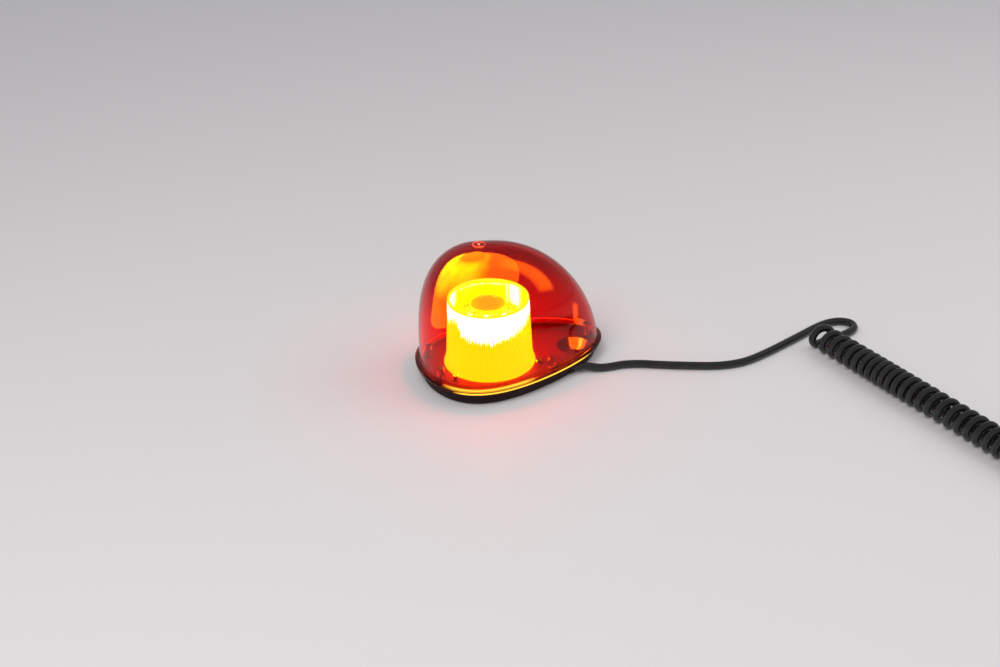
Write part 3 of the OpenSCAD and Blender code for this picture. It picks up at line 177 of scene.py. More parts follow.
def curl_path():
    """Centre line of the curly cord: a helix round an axis that runs straight, turns back on a half
    circle and runs straight again, eased into a plain hoop over its first and its last curl."""
    u = np.arange(CURLS * CURL_STEPS + 1) / CURL_STEPS
    v = CURLS - u
    s = np.where(u < 1, curl_run(u) * np.sin(u * TAU / 4), curl_run(u))
    s = np.where(v < 1, curl_run(np.float64(CURLS)) - FAR_PITCH * v * np.sin(v * TAU / 4), s)
    turn = math.pi * CURL_TURN
    a = math.pi * np.clip((s - CURL_RUN) / turn, 0, 1)
    h = CURL_HEADING + a
    ahead = np.array([math.cos(CURL_HEADING), math.sin(CURL_HEADING)])
    left = np.array([-ahead[1], ahead[0]])
    bend = CURL_TURN * (left * (1 - np.cos(a))[:, None] + ahead * np.sin(a)[:, None])
    past = np.maximum(s - CURL_RUN - turn, 0)[:, None]
    axis = CURL_START + np.minimum(s, CURL_RUN)[:, None] * ahead + bend - past * ahead
    w = TAU * u - TAU / 4
    body = np.stack([axis[:, 0] + CURL_RADIUS * np.cos(w) * np.sin(h),
                     axis[:, 1] - CURL_RADIUS * np.cos(w) * np.cos(h),
                     CURL_Z + CURL_RADIUS * np.sin(w)], axis=1)
    first = body[0] - 2 * CORD_RADIUS * np.array([math.sin(h[0]), -math.cos(h[0]), 0])
    last = body[-1] + 2 * CORD_RADIUS * np.array([math.sin(h[-1]), -math.cos(h[-1]), 0])
    return np.vstack([first, body, last])


def tube(path, radius, sides):
    """Closed round tube along a path that starts level: a circle at each point in the plane square to
    the path, its frame carried from point to point without twist."""
    t = unit(np.vstack([path[1] - path[0], path[2:] - path[:-2], path[-1] - path[-2]]))
    r = np.zeros_like(t)
    r[0] = unit(np.cross(t[0], [0.0, 0.0, 1.0]))
    for i in range(1, len(t)):
        step = r[i - 1] - np.dot(r[i - 1], t[i]) * t[i]
        r[i] = step / np.linalg.norm(step)
    s = np.cross(t, r)
    a = (np.arange(sides) / sides * TAU)[None, :, None]
    rings = path[:, None] + radius * (np.cos(a) * r[:, None] + np.sin(a) * s[:, None])
    n = len(path)
    points = np.vstack([rings.reshape(-1, 3), path[0], path[-1]])
    faces = [*grid_faces(n, sides), *fan_faces(np.arange(sides), n * sides, flip=True),
             *fan_faces(np.arange(sides) + (n - 1) * sides, n * sides + 1)]
    return points, faces


# Nodes that the materials share. A value is a socket or a number, and a colour a socket or a tuple

BLACK = (0.0, 0.0, 0.0)


def math_node(nt, operation, a, b=None, c=None, clamp=False):
    """A Math node whose inputs are sockets or numbers."""
    m = nt.nodes.new("ShaderNodeMath")
    m.operation, m.use_clamp = operation, clamp
    for i, v in enumerate((a, b, c)):
        if v is None:
            continue
        if isinstance(v, (int, float)):
            m.inputs[i].default_value = v
        else:
            nt.links.new(v, m.inputs[i])
    return m.outputs[0]


def joined(nt, operation, *values):
    """Several values joined one after the other by the same operation."""
    out = values[0]
    for v in values[1:]:
        out = math_node(nt, operation, out, v)
    return out


def product(nt, *masks):
    """Product of several masks."""
    return joined(nt, "MULTIPLY", *masks)


def largest(nt, *masks):
    """Largest of several masks."""
    return joined(nt, "MAXIMUM", *masks)


def ramp(nt, value, low, high):
    """0 up to low, 1 from high on and a straight slope between; high may be the smaller."""
    above = math_node(nt, "SUBTRACT", value, low)
    return math_node(nt, "MULTIPLY_ADD", above, 1 / (high - low), 0.0, clamp=True)


def apart(nt, value, middle):
    """How far a value is from a middle one, on either side."""
    return math_node(nt, "ABSOLUTE", math_node(nt, "SUBTRACT", value, middle))


def blend(nt, factor, first, second):
    """Colour between two colours."""
    mix = nt.nodes.new("ShaderNodeMix")
    mix.data_type = "RGBA"
    for value, socket in ((factor, "Factor"), (first, "A"), (second, "B")):
        if isinstance(value, tuple):
            mix.inputs[socket].default_value = (*value, 1)
        else:
            nt.links.new(value, mix.inputs[socket])
    return mix.outputs["Result"]


def place_in_millimetres(nt):
    """The x, y and z of a point of the piece, in millimetres."""
    co, scale, xyz = (nt.nodes.new("ShaderNode" + k) for k in ("TexCoord", "VectorMath", "SeparateXYZ"))
    scale.operation = "SCALE"
    scale.inputs["Scale"].default_value = 1 / MM
    nt.links.new(co.outputs["Object"], scale.inputs[0])
    nt.links.new(scale.outputs[0], xyz.inputs[0])
    return tuple(xyz.outputs)


def direction(nt, x, y):
    """Direction of a point round an axis, in degrees from -180 to 180."""
    return math_node(nt, "MULTIPLY", math_node(nt, "ARCTAN2", y, x), math.degrees(1))


def cosine_from(nt, turn, middle):
    """Cosine of the angle between a direction and a middle one, both in degrees."""
    angle = math_node(nt, "MULTIPLY", math_node(nt, "SUBTRACT", turn, middle), math.radians(1))
    return math_node(nt, "COSINE", angle)


def distance(nt, x, y):
    """Length of the vector with these two parts."""
    return math_node(nt, "SQRT", math_node(nt, "MULTIPLY_ADD", x, x, math_node(nt, "MULTIPLY", y, y)))


def mottle(nt, scale, detail):
    """Soft noise over a piece, from 0 to 1."""
    noise = nt.nodes.new("ShaderNodeTexNoise")
    noise.inputs["Scale"].default_value, noise.inputs["Detail"].default_value = scale, detail
    nt.links.new(nt.nodes.new("ShaderNodeTexCoord").outputs["Object"], noise.inputs["Vector"])
    return noise.outputs["Fac"]


def emit(nt, tone):
    """Makes a surface give off light of a colour, whose parts may be well over 1."""
    p = nt.nodes["Principled BSDF"]
    nt.links.new(tone, p.inputs["Emission Color"])
    p.inputs["Emission Strength"].default_value = 1.0


# Finishes

BUMP_DEPTH = 0.00006


def worked_surface():
    """Surface of a moulded or worked piece: fine grain, broad blotches and a few long scuffs.
    Puts out Tone and Gloss, masks from 0 to 1, and Height for a bump."""
    g = bpy.data.node_groups.new("worked surface", "ShaderNodeTree")
    for name, value in (("Grain Scale", 900.0), ("Blotch Scale", 35.0), ("Scuff", 0.3), ("Stretch", 1.0)):
        socket = g.interface.new_socket(name=name, in_out="INPUT", socket_type="NodeSocketFloat")
        socket.default_value = value
    for name in ("Tone", "Gloss", "Height"):
        g.interface.new_socket(name=name, in_out="OUTPUT", socket_type="NodeSocketFloat")
    n, link = g.nodes, g.links.new
    inp, out, co = n.new("NodeGroupInput"), n.new("NodeGroupOutput"), n.new("ShaderNodeTexCoord")
    stretch = n.new("ShaderNodeCombineXYZ")
    stretch.inputs[0].default_value = stretch.inputs[1].default_value = 1.0
    scale = n.new("ShaderNodeVectorMath")
    scale.operation = "MULTIPLY"
    link(inp.outputs["Stretch"], stretch.inputs[2])
    link(co.outputs["Object"], scale.inputs[0])
    link(stretch.outputs[0], scale.inputs[1])

    def noise(scale_socket, detail, rough):
        t = n.new("ShaderNodeTexNoise")
        t.inputs["Detail"].default_value, t.inputs["Roughness"].default_value = detail, rough
        link(scale.outputs[0], t.inputs["Vector"])
        link(scale_socket, t.inputs["Scale"])
        return t.outputs["Fac"]

    grain = noise(inp.outputs["Grain Scale"], 3.0, 0.6)
    blotch = noise(inp.outputs["Blotch Scale"], 4.0, 0.55)
    scuff = n.new("ShaderNodeMapRange")
    scuff.inputs["From Min"].default_value, scuff.inputs["From Max"].default_value = 0.58, 0.74
    link(blotch, scuff.inputs["Value"])
    worn = math_node(g, "MULTIPLY", scuff.outputs[0], inp.outputs["Scuff"])
    link(math_node(g, "MULTIPLY_ADD", blotch, 0.6, worn, clamp=True), out.inputs["Tone"])
    half_grain = math_node(g, "MULTIPLY", grain, 0.5)
    link(math_node(g, "ADD", worn, half_grain, clamp=True), out.inputs["Gloss"])
    link(grain, out.inputs["Height"])
    return g


WORKED = worked_surface()


def place_worked_surface(nt, rough, **values):
    """Puts the worked surface into a material, where its gloss mask sets the roughness between two
    values. Values for its inputs are named with an underscore for a space."""
    g = nt.nodes.new("ShaderNodeGroup")
    g.node_tree = WORKED
    for key, value in values.items():
        g.inputs[key.replace("_", " ")].default_value = value
    r = nt.nodes.new("ShaderNodeMapRange")
    r.inputs["To Min"].default_value, r.inputs["To Max"].default_value = rough
    nt.links.new(g.outputs["Gloss"], r.inputs["Value"])
    nt.links.new(r.outputs[0], nt.nodes["Principled BSDF"].inputs["Roughness"])
    return g


def finish(name, dark, light, rough, metallic=0.0, grain=900.0, stretch=1.0, bump=0.15, **sockets):
    """A finish that varies from a dark to a light colour and from one roughness to another by the
    worked surface, with its grain as a bump. Other sockets are set as plain values."""
    m = bpy.data.materials.new(name)
    m.use_nodes = True
    nt = m.node_tree
    p = nt.nodes["Principled BSDF"]
    p.inputs["Metallic"].default_value = metallic
    for key, value in sockets.items():
        p.inputs[key.replace("_", " ")].default_value = value
    g = place_worked_surface(nt, rough, Grain_Scale=grain, Stretch=stretch)
    nt.links.new(blend(nt, g.outputs["Tone"], dark, light), p.inputs["Base Color"])
    b = nt.nodes.new("ShaderNodeBump")
    b.inputs["Strength"].default_value, b.inputs["Distance"].default_value = bump, BUMP_DEPTH
    nt.links.new(g.outputs["Height"], b.inputs["Height"])
    nt.links.new(b.outputs[0], p.inputs["Normal"])
    return m


TRAY_BLACK = finish("black tray plastic", (0.020, 0.010, 0.010), (0.050, 0.026, 0.026), (0.4, 0.55),
                    bump=0.08, Specular_IOR_Level=0.05)
CORD_BLACK = finish("black cord jacket", (0.006, 0.006, 0.006), (0.020, 0.019, 0.019), (0.22, 0.4),
                    grain=700, bump=0.12)
PLUG_BLACK = finish("black plug plastic", (0.012, 0.012, 0.013), (0.040, 0.040, 0.042), (0.35, 0.55),
                    bump=0.25)
BOOT_BLACK = finish("magnet boot rubber", (0.012, 0.012, 0.012), (0.045, 0.044, 0.043), (0.55, 0.8),
                    bump=0.3)
STEEL = finish("zinc plated steel", (0.42, 0.42, 0.40), (0.66, 0.66, 0.63), (0.22, 0.42), 1.0,
               stretch=6.0, bump=0.1)
BRASS = finish("satin brass", (0.48, 0.33, 0.11), (0.80, 0.60, 0.26), (0.2, 0.4), 1.0,
               stretch=5.0, bump=0.1)
WHITE_NYLON = finish("natural nylon", (0.68, 0.66, 0.58), (0.86, 0.84, 0.77), (0.38, 0.55))
MIRROR = finish("metallised mirror", (0.86, 0.86, 0.85), (0.95, 0.95, 0.94), (0.03, 0.09), 1.0, bump=0.01)
FERRITE = finish("sintered magnet", (0.05, 0.05, 0.055), (0.12, 0.12, 0.125), (0.5, 0.75), 0.4, bump=0.4)
ALUMINIUM = finish("rolled cap metal", (0.60, 0.60, 0.59), (0.80, 0.80, 0.79), (0.25, 0.4), 1.0, bump=0.1)
RED_WIRE = finish("red insulation", (0.40, 0.02, 0.01), (0.62, 0.04, 0.02), (0.3, 0.5))
ROCKER_RED = finish("red rocker plastic", (0.42, 0.015, 0.01), (0.68, 0.03, 0.02), (0.18, 0.35), bump=0.05)
LIT_WIRE = finish("lit tungsten", (0.9, 0.6, 0.3), (1, 0.8, 0.5), (0.4, 0.5), bump=0.1,
                  Emission_Color=(1.0, 0.72, 0.36, 1.0), Emission_Strength=30.0)
CAP_PALE = finish("pale cap plastic", (0.60, 0.52, 0.30), (0.72, 0.64, 0.40), (0.3, 0.5), bump=0.05)
GASKET = finish("foam gasket", (0.03, 0.03, 0.03), (0.07, 0.07, 0.07), (0.6, 0.85), bump=0.4)

# Clear mouldings

CLEAR_BLOTCH = 60.0
DOME_TINT, DOME_VEIL = (0.55, 0.045, 0.035), (0.07, 0.003, 0.002)
GLASS_TINT = (0.97, 0.96, 0.93)
WHITE, RED_SHEEN = (1.0, 1.0, 1.0), (0.7, 0.1, 0.1)


def clear_material(name, tint, veil, rough, ior, sheen=WHITE):
    """Clear moulding that refracts and mirrors for the eye, with a sheen of its own colour. Lamps shine
    straight in with its own tint, and scattered light passes straight through with the veil's. A wall
    has two faces, so each takes the square root of a tint."""
    m = bpy.data.materials.new(name)
    m.use_nodes = True
    nt = m.node_tree
    p, out = nt.nodes["Principled BSDF"], nt.nodes["Material Output"]
    p.inputs["Base Color"].default_value = (*tint, 1)
    p.inputs["IOR"].default_value = ior
    p.inputs["Specular Tint"].default_value = (*sheen, 1)
    p.inputs["Transmission Weight"].default_value = 1.0
    place_worked_surface(nt, rough, Blotch_Scale=CLEAR_BLOTCH)
    path = nt.nodes.new("ShaderNodeLightPath")
    scattered = path.outputs["Is Diffuse Ray"]
    straight = math_node(nt, "MAXIMUM", path.outputs["Is Shadow Ray"], scattered)
    through = nt.nodes.new("ShaderNodeBsdfTransparent")
    face_tint, face_veil = (tuple(t**0.5 for t in colour) for colour in (tint, veil))
    nt.links.new(blend(nt, scattered, face_tint, face_veil), through.inputs["Color"])
    mix = nt.nodes.new("ShaderNodeMixShader")
    nt.links.new(straight, mix.inputs[0])
    nt.links.new(p.outputs[0], mix.inputs[1])
    nt.links.new(through.outputs[0], mix.inputs[2])
    nt.links.new(mix.outputs[0], out.inputs["Surface"])
    return m


DOME_RED = clear_material("clear red dome plastic", DOME_TINT, DOME_VEIL, (0.0, 0.015), 1.49, RED_SHEEN)
DOME_INNER = clear_material("clear red dome inner wall", DOME_TINT, DOME_VEIL, (0.0, 0.015), 1.49)
CLEAR_GLASS = clear_material("clear bulb glass", GLASS_TINT, GLASS_TINT, (0.0, 0.01), 1.5)

# Painted light on the pieces round the lens, set as emission: glow of the lens's light, glints and
# reflections. Places in millimetres, directions in degrees round the lamp's axis

DECK_Z = 12.0
DOME_Z, DOME_HEIGHT, TOP_X = 13.0, 114.6, -7.1
DOME_TOP = DOME_Z + DOME_HEIGHT
MARK_Z, MARK_POINT_Z = DOME_TOP + 0.02, DOME_TOP + 0.4
WALL_FOOT_Z, FAR_SIDE, GLINT_PITCH, GLINT_TURN = 17.6, 105.0, 2.6, 6.5
# Centre of the arc of the painted reflection's tongue, and place and lean of the painted reflection's streak
TONGUE_X, TONGUE_Z = 20.0, 30.0
STREAK_X, STREAK_LEAN = 99.4, 0.12
WELL_X, WELL_Y, WELL_FLOOR_Z = 78.6, -12.4, 4.0
WELL_WALL_SLOPE, WELL_WALL_START, WELL_EDGE, PATCH_TURN, RIDGE_TURN = 0.4375, 10.25, 15.6, 45.0, 34.0
TAIL_X = 60.0

# Height, half width, middle direction and spread of the painted lines of light on the rim
FLANGE_LIGHT_LINE, NEAR_STEP_LIGHT_LINE, FAR_STEP_LIGHT_LINE = (14.0, 1.1, 277, 60), (16.1, 0.8, 248, 42), (16.7, 0.7, 78, 68)

# Colours of the painted light, set as emission, and the deck's base colour
RIM_LIGHT_YELLOW, RIM_LIGHT_RED = (2.4, 1.25, 0.08), (3.4, 0.4, 0.0)
MARK_GLINT_DIM, MARK_GLINT_BRIGHT, MARK_POINT_GLINT = (0.5, 0.03, 0.02), (1.5, 0.22, 0.12), (2.6, 0.9, 0.5)
WALL_LIGHT_DIM, WALL_LIGHT_RED, WALL_FOOT_LIGHT = (0.04, 0.0, 0.0), (1.1, 0.0, 0.0), (3.4, 0.45, 0.0)
REFLECTED_TONGUE_DIM, REFLECTED_TONGUE_BRIGHT = (2.4, 1.0, 0.0), (2.4, 3.4, 0.0)
GLINT_YELLOW, REFLECTED_STREAK_AMBER = (4.2, 7.5, 1.2), (2.4, 2.2, 0.0)
DECK_BASE, DECK_GLOW_RED, WELL_GLOW_RED = (0.050, 0.007, 0.006), (0.3, 0.0, 0.0), (0.16, 0.0, 0.0)
WELL_LIGHT_AMBER, WELL_LIGHT_RIDGE = (3.6, 3.4, 0.05), (3.8, 14.0, 0.8)
CAP_LIGHT_AMBER, CAP_LIGHT_YELLOW = (2.0, 6.0, 0.3), (2.6, 11.0, 0.1)
MIRROR_LIGHT_DULL, MIRROR_LIGHT_BRIGHT = (1.6, 5.0, 0.0), (3.2, 17.0, 0.2)


def glow_along_rim():
    """Paints onto the dome's outer skin, as emission, the light that its edges would pipe out: a yellow line
    on the flange's edge and one on the step, both on the near side, and a red one on the step on the far
    side, each faded by its direction from the lamp's axis. Paints speckled glints of light on the mark on
    top and a brighter glint on its point."""
    nt = DOME_RED.node_tree
    x, y, z = place_in_millimetres(nt)
    turn = direction(nt, x, y)

    def line(height, half, middle, spread):
        edge = math.cos(math.radians(spread))
        across = ramp(nt, apart(nt, z, height), half, 0.0)
        return product(nt, across, ramp(nt, cosine_from(nt, turn, middle), edge, edge + 0.12))

    tone = blend(nt, line(*FAR_STEP_LIGHT_LINE), BLACK, RIM_LIGHT_RED)
    tone = blend(nt, largest(nt, line(*FLANGE_LIGHT_LINE), line(*NEAR_STEP_LIGHT_LINE)), tone, RIM_LIGHT_YELLOW)
    # Painted glints: the mark on top speckled with light, its point brighter
    mark = blend(nt, ramp(nt, mottle(nt, 260.0, 2.0), 0.4, 0.6), MARK_GLINT_DIM, MARK_GLINT_BRIGHT)
    mark = blend(nt, ramp(nt, z, MARK_POINT_Z, MARK_POINT_Z + 0.2), mark, MARK_POINT_GLINT)
    emit(nt, blend(nt, ramp(nt, z, MARK_Z, MARK_Z + 0.18), tone, mark))


def glow_in_wall():
    """Paints onto the dome's inner wall, where it is seen from inside, as emission, the lens's light that it
    would catch: a red that fades upwards and outwards, a line round the foot of its far side and short
    glints above one another at the foot of the tail, and a painted reflection of the lens as a mottled
    tongue on the far side and a narrow streak up the tail."""
    nt = DOME_INNER.node_tree
    x, y, z = place_in_millimetres(nt)
    turn = direction(nt, x, y)
    seen = math_node(nt, "SUBTRACT", 1.0, nt.nodes.new("ShaderNodeNewGeometry").outputs["Backfacing"])
    far_side = product(nt, seen, ramp(nt, y, 6, 12))

    # Painted reflection of the lens: an arched tongue round this centre
    across, up = math_node(nt, "SUBTRACT", x, TONGUE_X), math_node(nt, "SUBTRACT", z, TONGUE_Z)
    reach, rise = distance(nt, across, up), direction(nt, across, up)
    tongue = product(nt, far_side, ramp(nt, reach, 48, 53), ramp(nt, reach, 63, 60),
                     ramp(nt, rise, 18, 25), ramp(nt, rise, 86, 72))
    # Painted reflection of the lens: a narrow streak leaning up the tail
    lean = math_node(nt, "MULTIPLY_ADD", z, STREAK_LEAN, x)
    streak = product(nt, far_side, ramp(nt, apart(nt, lean, STREAK_X), 2.2, 0.4),
                     ramp(nt, z, 12, 18), ramp(nt, z, 40, 34))
    lit = product(nt, ramp(nt, z, 84, 30), ramp(nt, distance(nt, x, y), 122, 60))
    foot = product(nt, ramp(nt, apart(nt, z, WALL_FOOT_Z), 0.9, 0.3),
                   ramp(nt, cosine_from(nt, turn, FAR_SIDE), -0.34, -0.14))
    wave = math_node(nt, "MULTIPLY_ADD", z, TAU / GLINT_PITCH, -TAU * WALL_FOOT_Z / GLINT_PITCH)
    glints = product(nt, ramp(nt, math_node(nt, "COSINE", wave), 0.35, 0.8),
                     ramp(nt, apart(nt, turn, GLINT_TURN), 5, 2), ramp(nt, z, 21, 20))

    tone = blend(nt, lit, WALL_LIGHT_DIM, WALL_LIGHT_RED)
    tone = blend(nt, foot, tone, WALL_FOOT_LIGHT)
    tone = blend(nt, glints, tone, GLINT_YELLOW)
    tone = blend(nt, seen, BLACK, tone)
    tone = blend(nt, tongue, tone, blend(nt, mottle(nt, 70.0, 3.0), REFLECTED_TONGUE_DIM, REFLECTED_TONGUE_BRIGHT))
    emit(nt, blend(nt, streak, tone, REFLECTED_STREAK_AMBER))


def glow_in_well():
    """Paints onto the tray, as emission, the lens's light on one side of the wall and floor of the well in
    its tail, brightest along a ridge, and a dull red glow of painted light in the rest of the well and on
    the deck round it, and gives the deck a red-black base colour. The well's wall leans outwards from its
    floor to the deck."""
    nt = TRAY_BLACK.node_tree
    x, y, z = place_in_millimetres(nt)
    across, along = math_node(nt, "SUBTRACT", x, WELL_X), math_node(nt, "SUBTRACT", y, WELL_Y)
    turn, reach = direction(nt, across, along), distance(nt, across, along)
    over_floor = ramp(nt, z, WELL_FLOOR_Z - 0.3, WELL_FLOOR_Z - 0.1)
    deck = ramp(nt, z, DECK_Z - 0.3, DECK_Z - 0.1)
    under_deck = ramp(nt, z, DECK_Z - 0.1, DECK_Z - 0.3)

    wall_radius = math_node(nt, "MULTIPLY_ADD", z, WELL_WALL_SLOPE, WELL_WALL_START)
    wall = product(nt, ramp(nt, apart(nt, wall_radius, reach), 0.6, 0.3), over_floor)
    floor = product(nt, ramp(nt, apart(nt, z, WELL_FLOOR_Z), 0.3, 0.1), ramp(nt, reach, 5.0, 7.5),
                    ramp(nt, reach, 12.6, 12.3))
    # Painted pool of the lens's light on one side of the well's wall and floor
    patch = product(nt, largest(nt, wall, floor), ramp(nt, apart(nt, turn, PATCH_TURN), 38, 33),
                    ramp(nt, z, DECK_Z - 0.4, DECK_Z - 1.0))
    lit = blend(nt, ramp(nt, apart(nt, turn, RIDGE_TURN), 11, 3), WELL_LIGHT_AMBER, WELL_LIGHT_RIDGE)
    near_tail = ramp(nt, distance(nt, math_node(nt, "SUBTRACT", x, TAIL_X), y), 34, 18)
    in_well = product(nt, ramp(nt, reach, WELL_EDGE, WELL_EDGE - 0.2), over_floor, under_deck)

    tone = blend(nt, product(nt, deck, near_tail), BLACK, DECK_GLOW_RED)
    tone = blend(nt, in_well, tone, WELL_GLOW_RED)
    emit(nt, blend(nt, patch, tone, lit))
    base = nt.nodes["Principled BSDF"].inputs["Base Color"]
    nt.links.new(blend(nt, deck, base.links[0].from_socket, DECK_BASE), base)


def glow_in_cap():
    """Paints the lens's light onto the cap over the mirror as emission: amber in the middle, yellow towards
    its edge.
    """
    nt = CAP_PALE.node_tree
    x, y, _ = place_in_millimetres(nt)
    emit(nt, blend(nt, ramp(nt, distance(nt, x, y), 9, 15.5), CAP_LIGHT_AMBER, CAP_LIGHT_YELLOW))


def glow_in_mirror():
    """Paints the lens's light that the mirror catches onto it as emission, uneven like its surface."""
    nt = MIRROR.node_tree
    surface = next(n for n in nt.nodes if n.type == "GROUP")
    emit(nt, blend(nt, surface.outputs["Tone"], MIRROR_LIGHT_DULL, MIRROR_LIGHT_BRIGHT))


glow_along_rim()
glow_in_wall()
glow_in_well()
glow_in_cap()
glow_in_mirror()

# The lens's own light

FLUTES = 120
LENS_H = 63.0
LENS_TOP = DECK_Z + LENS_H
LENS_BASE = (0.85, 0.45, 0.04, 1)
BEAM_TURN, FACING_TURN = 244.0, 115.0
BAND_BOTTOM, BAND_REACH, RAGGEDNESS, GROOVE_LIFT = 62.0, 14.5, 13.0, 4.0

# Middle direction, half width and soft edge of the painted white-hot patches, sparks and dashes of light
LEFT_PATCH, RIGHT_PATCH, SPARK_ROW = (143.0, 8.0, 16.0), (22.0, 4.0, 14.0), (78.0, 40.0, 2.0)
RIM_DASHES_OF_LIGHT = ((-140.0, 2.2, 1.0), (-117.0, 2.6, 1.0), (-92.0, 2.2, 1.0))
SPARK_Z = 70.8

OUTER_GLOW, GROOVE_GLOW = (3.6, 20.0, 0.0), (2.9, 11.0, 0.0)
INNER_GLOW, RIM_GLOW, WHITE_GLOW = (3.4, 15.0, 0.0), (3.6, 21.0, 0.5), (12.0, 62.0, 42.0)
# Painted reflection: tones that the lens shows in reflections instead of its own glow, far brighter than it
MIRRORED_FLANK, MIRRORED_FACE = (60.0, 46.0, 0.0), (60.0, 480.0, 0.0)
MIRRORED_TOP, MIRRORED_INSIDE = (50.0, 90.0, 0.0), (50.0, 140.0, 0.0)
CAST_OUTSIDE, CAST_INSIDE = (64.0, 8.0, 0.0), (60.0, 150.0, 0.0)


def lens_material():
    """Lit amber lens: it glows amber all over, darker in the grooves between its flutes, and white hot
    where the beam falls. Outside that is a band under its rim that reaches lowest on the beam's side,
    its lower edge ragged by the flutes; inside it is a striped patch on either flank, a row of sparks
    in the flutes between them and three dashes on the rim. Mirrored in the dome, its wall is amber
    where it faces the beam or turns its back on it, and orange on its flanks and its top. Outside and
    inside also differ in the light that they cast on other pieces."""
    m = bpy.data.materials.new("lit amber lens")
    m.use_nodes = True
    nt = m.node_tree
    p = nt.nodes["Principled BSDF"]
    p.inputs["Roughness"].default_value = 0.22
    p.inputs["Base Color"].default_value = LENS_BASE
    x, y, z = place_in_millimetres(nt)
    turn = direction(nt, x, y)
    tapered = math_node(nt, "MULTIPLY_ADD", z, 0.048, distance(nt, x, y))
    outside = math_node(nt, "GREATER_THAN", tapered, 38.4)
    inside = math_node(nt, "SUBTRACT", 1.0, outside)

    def near(value, middle, half, soft):
        """1 within half of the middle, falling to 0 over the soft edge beyond it."""
        return ramp(nt, apart(nt, value, middle), half + soft, half)

    groove = math_node(nt, "COSINE", math_node(nt, "MULTIPLY", turn, math.radians(FLUTES / 2)))
    groove = math_node(nt, "POWER", math_node(nt, "ABSOLUTE", groove), 3.0)
    noise = nt.nodes.new("ShaderNodeTexNoise")
    noise.noise_dimensions = "1D"
    noise.inputs["Scale"].default_value, noise.inputs["Detail"].default_value = FLUTES / 4, 2.0
    nt.links.new(math_node(nt, "MULTIPLY", turn, math.radians(1)), noise.inputs["W"])
    ragged = math_node(nt, "SUBTRACT", noise.outputs["Fac"], 0.5)

    reach = math_node(nt, "MAXIMUM", cosine_from(nt, turn, BEAM_TURN), 0.0)
    reach = product(nt, math_node(nt, "POWER", reach, 1.5), ramp(nt, turn, -163, -154.8))
    low = math_node(nt, "MULTIPLY_ADD", reach, -BAND_REACH, BAND_BOTTOM)
    low = math_node(nt, "MULTIPLY_ADD", ragged, RAGGEDNESS, low)
    low = math_node(nt, "MULTIPLY_ADD", groove, GROOVE_LIFT, low)
    under_rim = ramp(nt, z, LENS_TOP - 2.0, LENS_TOP - 2.6)
    band = product(nt, ramp(nt, math_node(nt, "SUBTRACT", z, low), -0.9, 0.9), under_rim, outside)

    def striped(mask):
        """A mask broken up into upright stripes by the grooves."""
        lines = math_node(nt, "MULTIPLY_ADD", ragged, 1.8, mask)
        lines = math_node(nt, "MULTIPLY_ADD", groove, -1.0, lines)
        return product(nt, ramp(nt, lines, 0.15, 0.3), ramp(nt, mask, 0.0, 0.2))

    left = striped(product(nt, near(turn, *LEFT_PATCH), ramp(nt, z, 54, 62)))
    right = striped(product(nt, near(turn, *RIGHT_PATCH), ramp(nt, z, 48, 60)))
    spark_z = math_node(nt, "MULTIPLY_ADD", ragged, 3.0, z)
    sparks = product(nt, near(spark_z, SPARK_Z, 0.5, 0.4), near(turn, *SPARK_ROW),
                     ramp(nt, groove, 0.5, 0.3), ramp(nt, noise.outputs["Fac"], 0.46, 0.56))
    inner = product(nt, largest(nt, left, right, sparks), under_rim, inside)
    dashes = largest(nt, *(near(turn, *dash) for dash in RIM_DASHES_OF_LIGHT))
    dashes = product(nt, dashes, ramp(nt, z, LENS_TOP - 0.3, LENS_TOP - 0.2))
    white = largest(nt, band, inner, dashes)

    glow = blend(nt, math_node(nt, "MULTIPLY", groove, 0.85), OUTER_GLOW, GROOVE_GLOW)
    glow = blend(nt, math_node(nt, "MULTIPLY", inside, 0.8), glow, INNER_GLOW)
    glow = blend(nt, ramp(nt, z, 72.9, 73.3), glow, RIM_GLOW)
    glow = blend(nt, white, glow, WHITE_GLOW)

    facing = math_node(nt, "ABSOLUTE", cosine_from(nt, turn, FACING_TURN))
    facing = math_node(nt, "POWER", ramp(nt, facing, 0.40, 0.84), 2.0)
    facing = product(nt, facing, math_node(nt, "MULTIPLY_ADD", ramp(nt, z, 36, 60), 0.94, 0.06),
                     math_node(nt, "MULTIPLY_ADD", groove, -0.4, 1.0))
    amber = blend(nt, facing, MIRRORED_FLANK, MIRRORED_FACE)
    amber = blend(nt, ramp(nt, z, 72, 65), MIRRORED_TOP, amber)
    amber = blend(nt, inside, amber, MIRRORED_INSIDE)

    # Painted reflection: rays mirrored off other pieces see the brighter amber tones in place of the glow
    path = nt.nodes.new("ShaderNodeLightPath")
    mirrored = product(nt, path.outputs["Is Glossy Ray"], path.outputs["Is Reflection Ray"])
    glow = blend(nt, mirrored, glow, amber)
    cast = blend(nt, inside, CAST_OUTSIDE, CAST_INSIDE)
    emit(nt, blend(nt, path.outputs["Is Diffuse Ray"], glow, cast))
    return m


LIT_LENS = lens_material()

# The cord: one unbroken tube from the tray, through the curls, to the plug


def make_cord():
    curls = curl_path()
    lead, plug_lead = spline(FLOOR_ROUTE + [curls[0]]), spline([curls[-1]] + PLUG_ROUTE)
    path = np.vstack([lead[:-1], curls, plug_lead[1:]]) * MM
    points, faces = tube(path, CORD_RADIUS * MM, CORD_SIDES)
    cord = new_piece("cord", points, faces, "base", CORD_BLACK)
    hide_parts("floor_lead", "curly_cord", "plug_lead")


make_cord()

# Teardrop outline and dome, by the same formulas as the solid

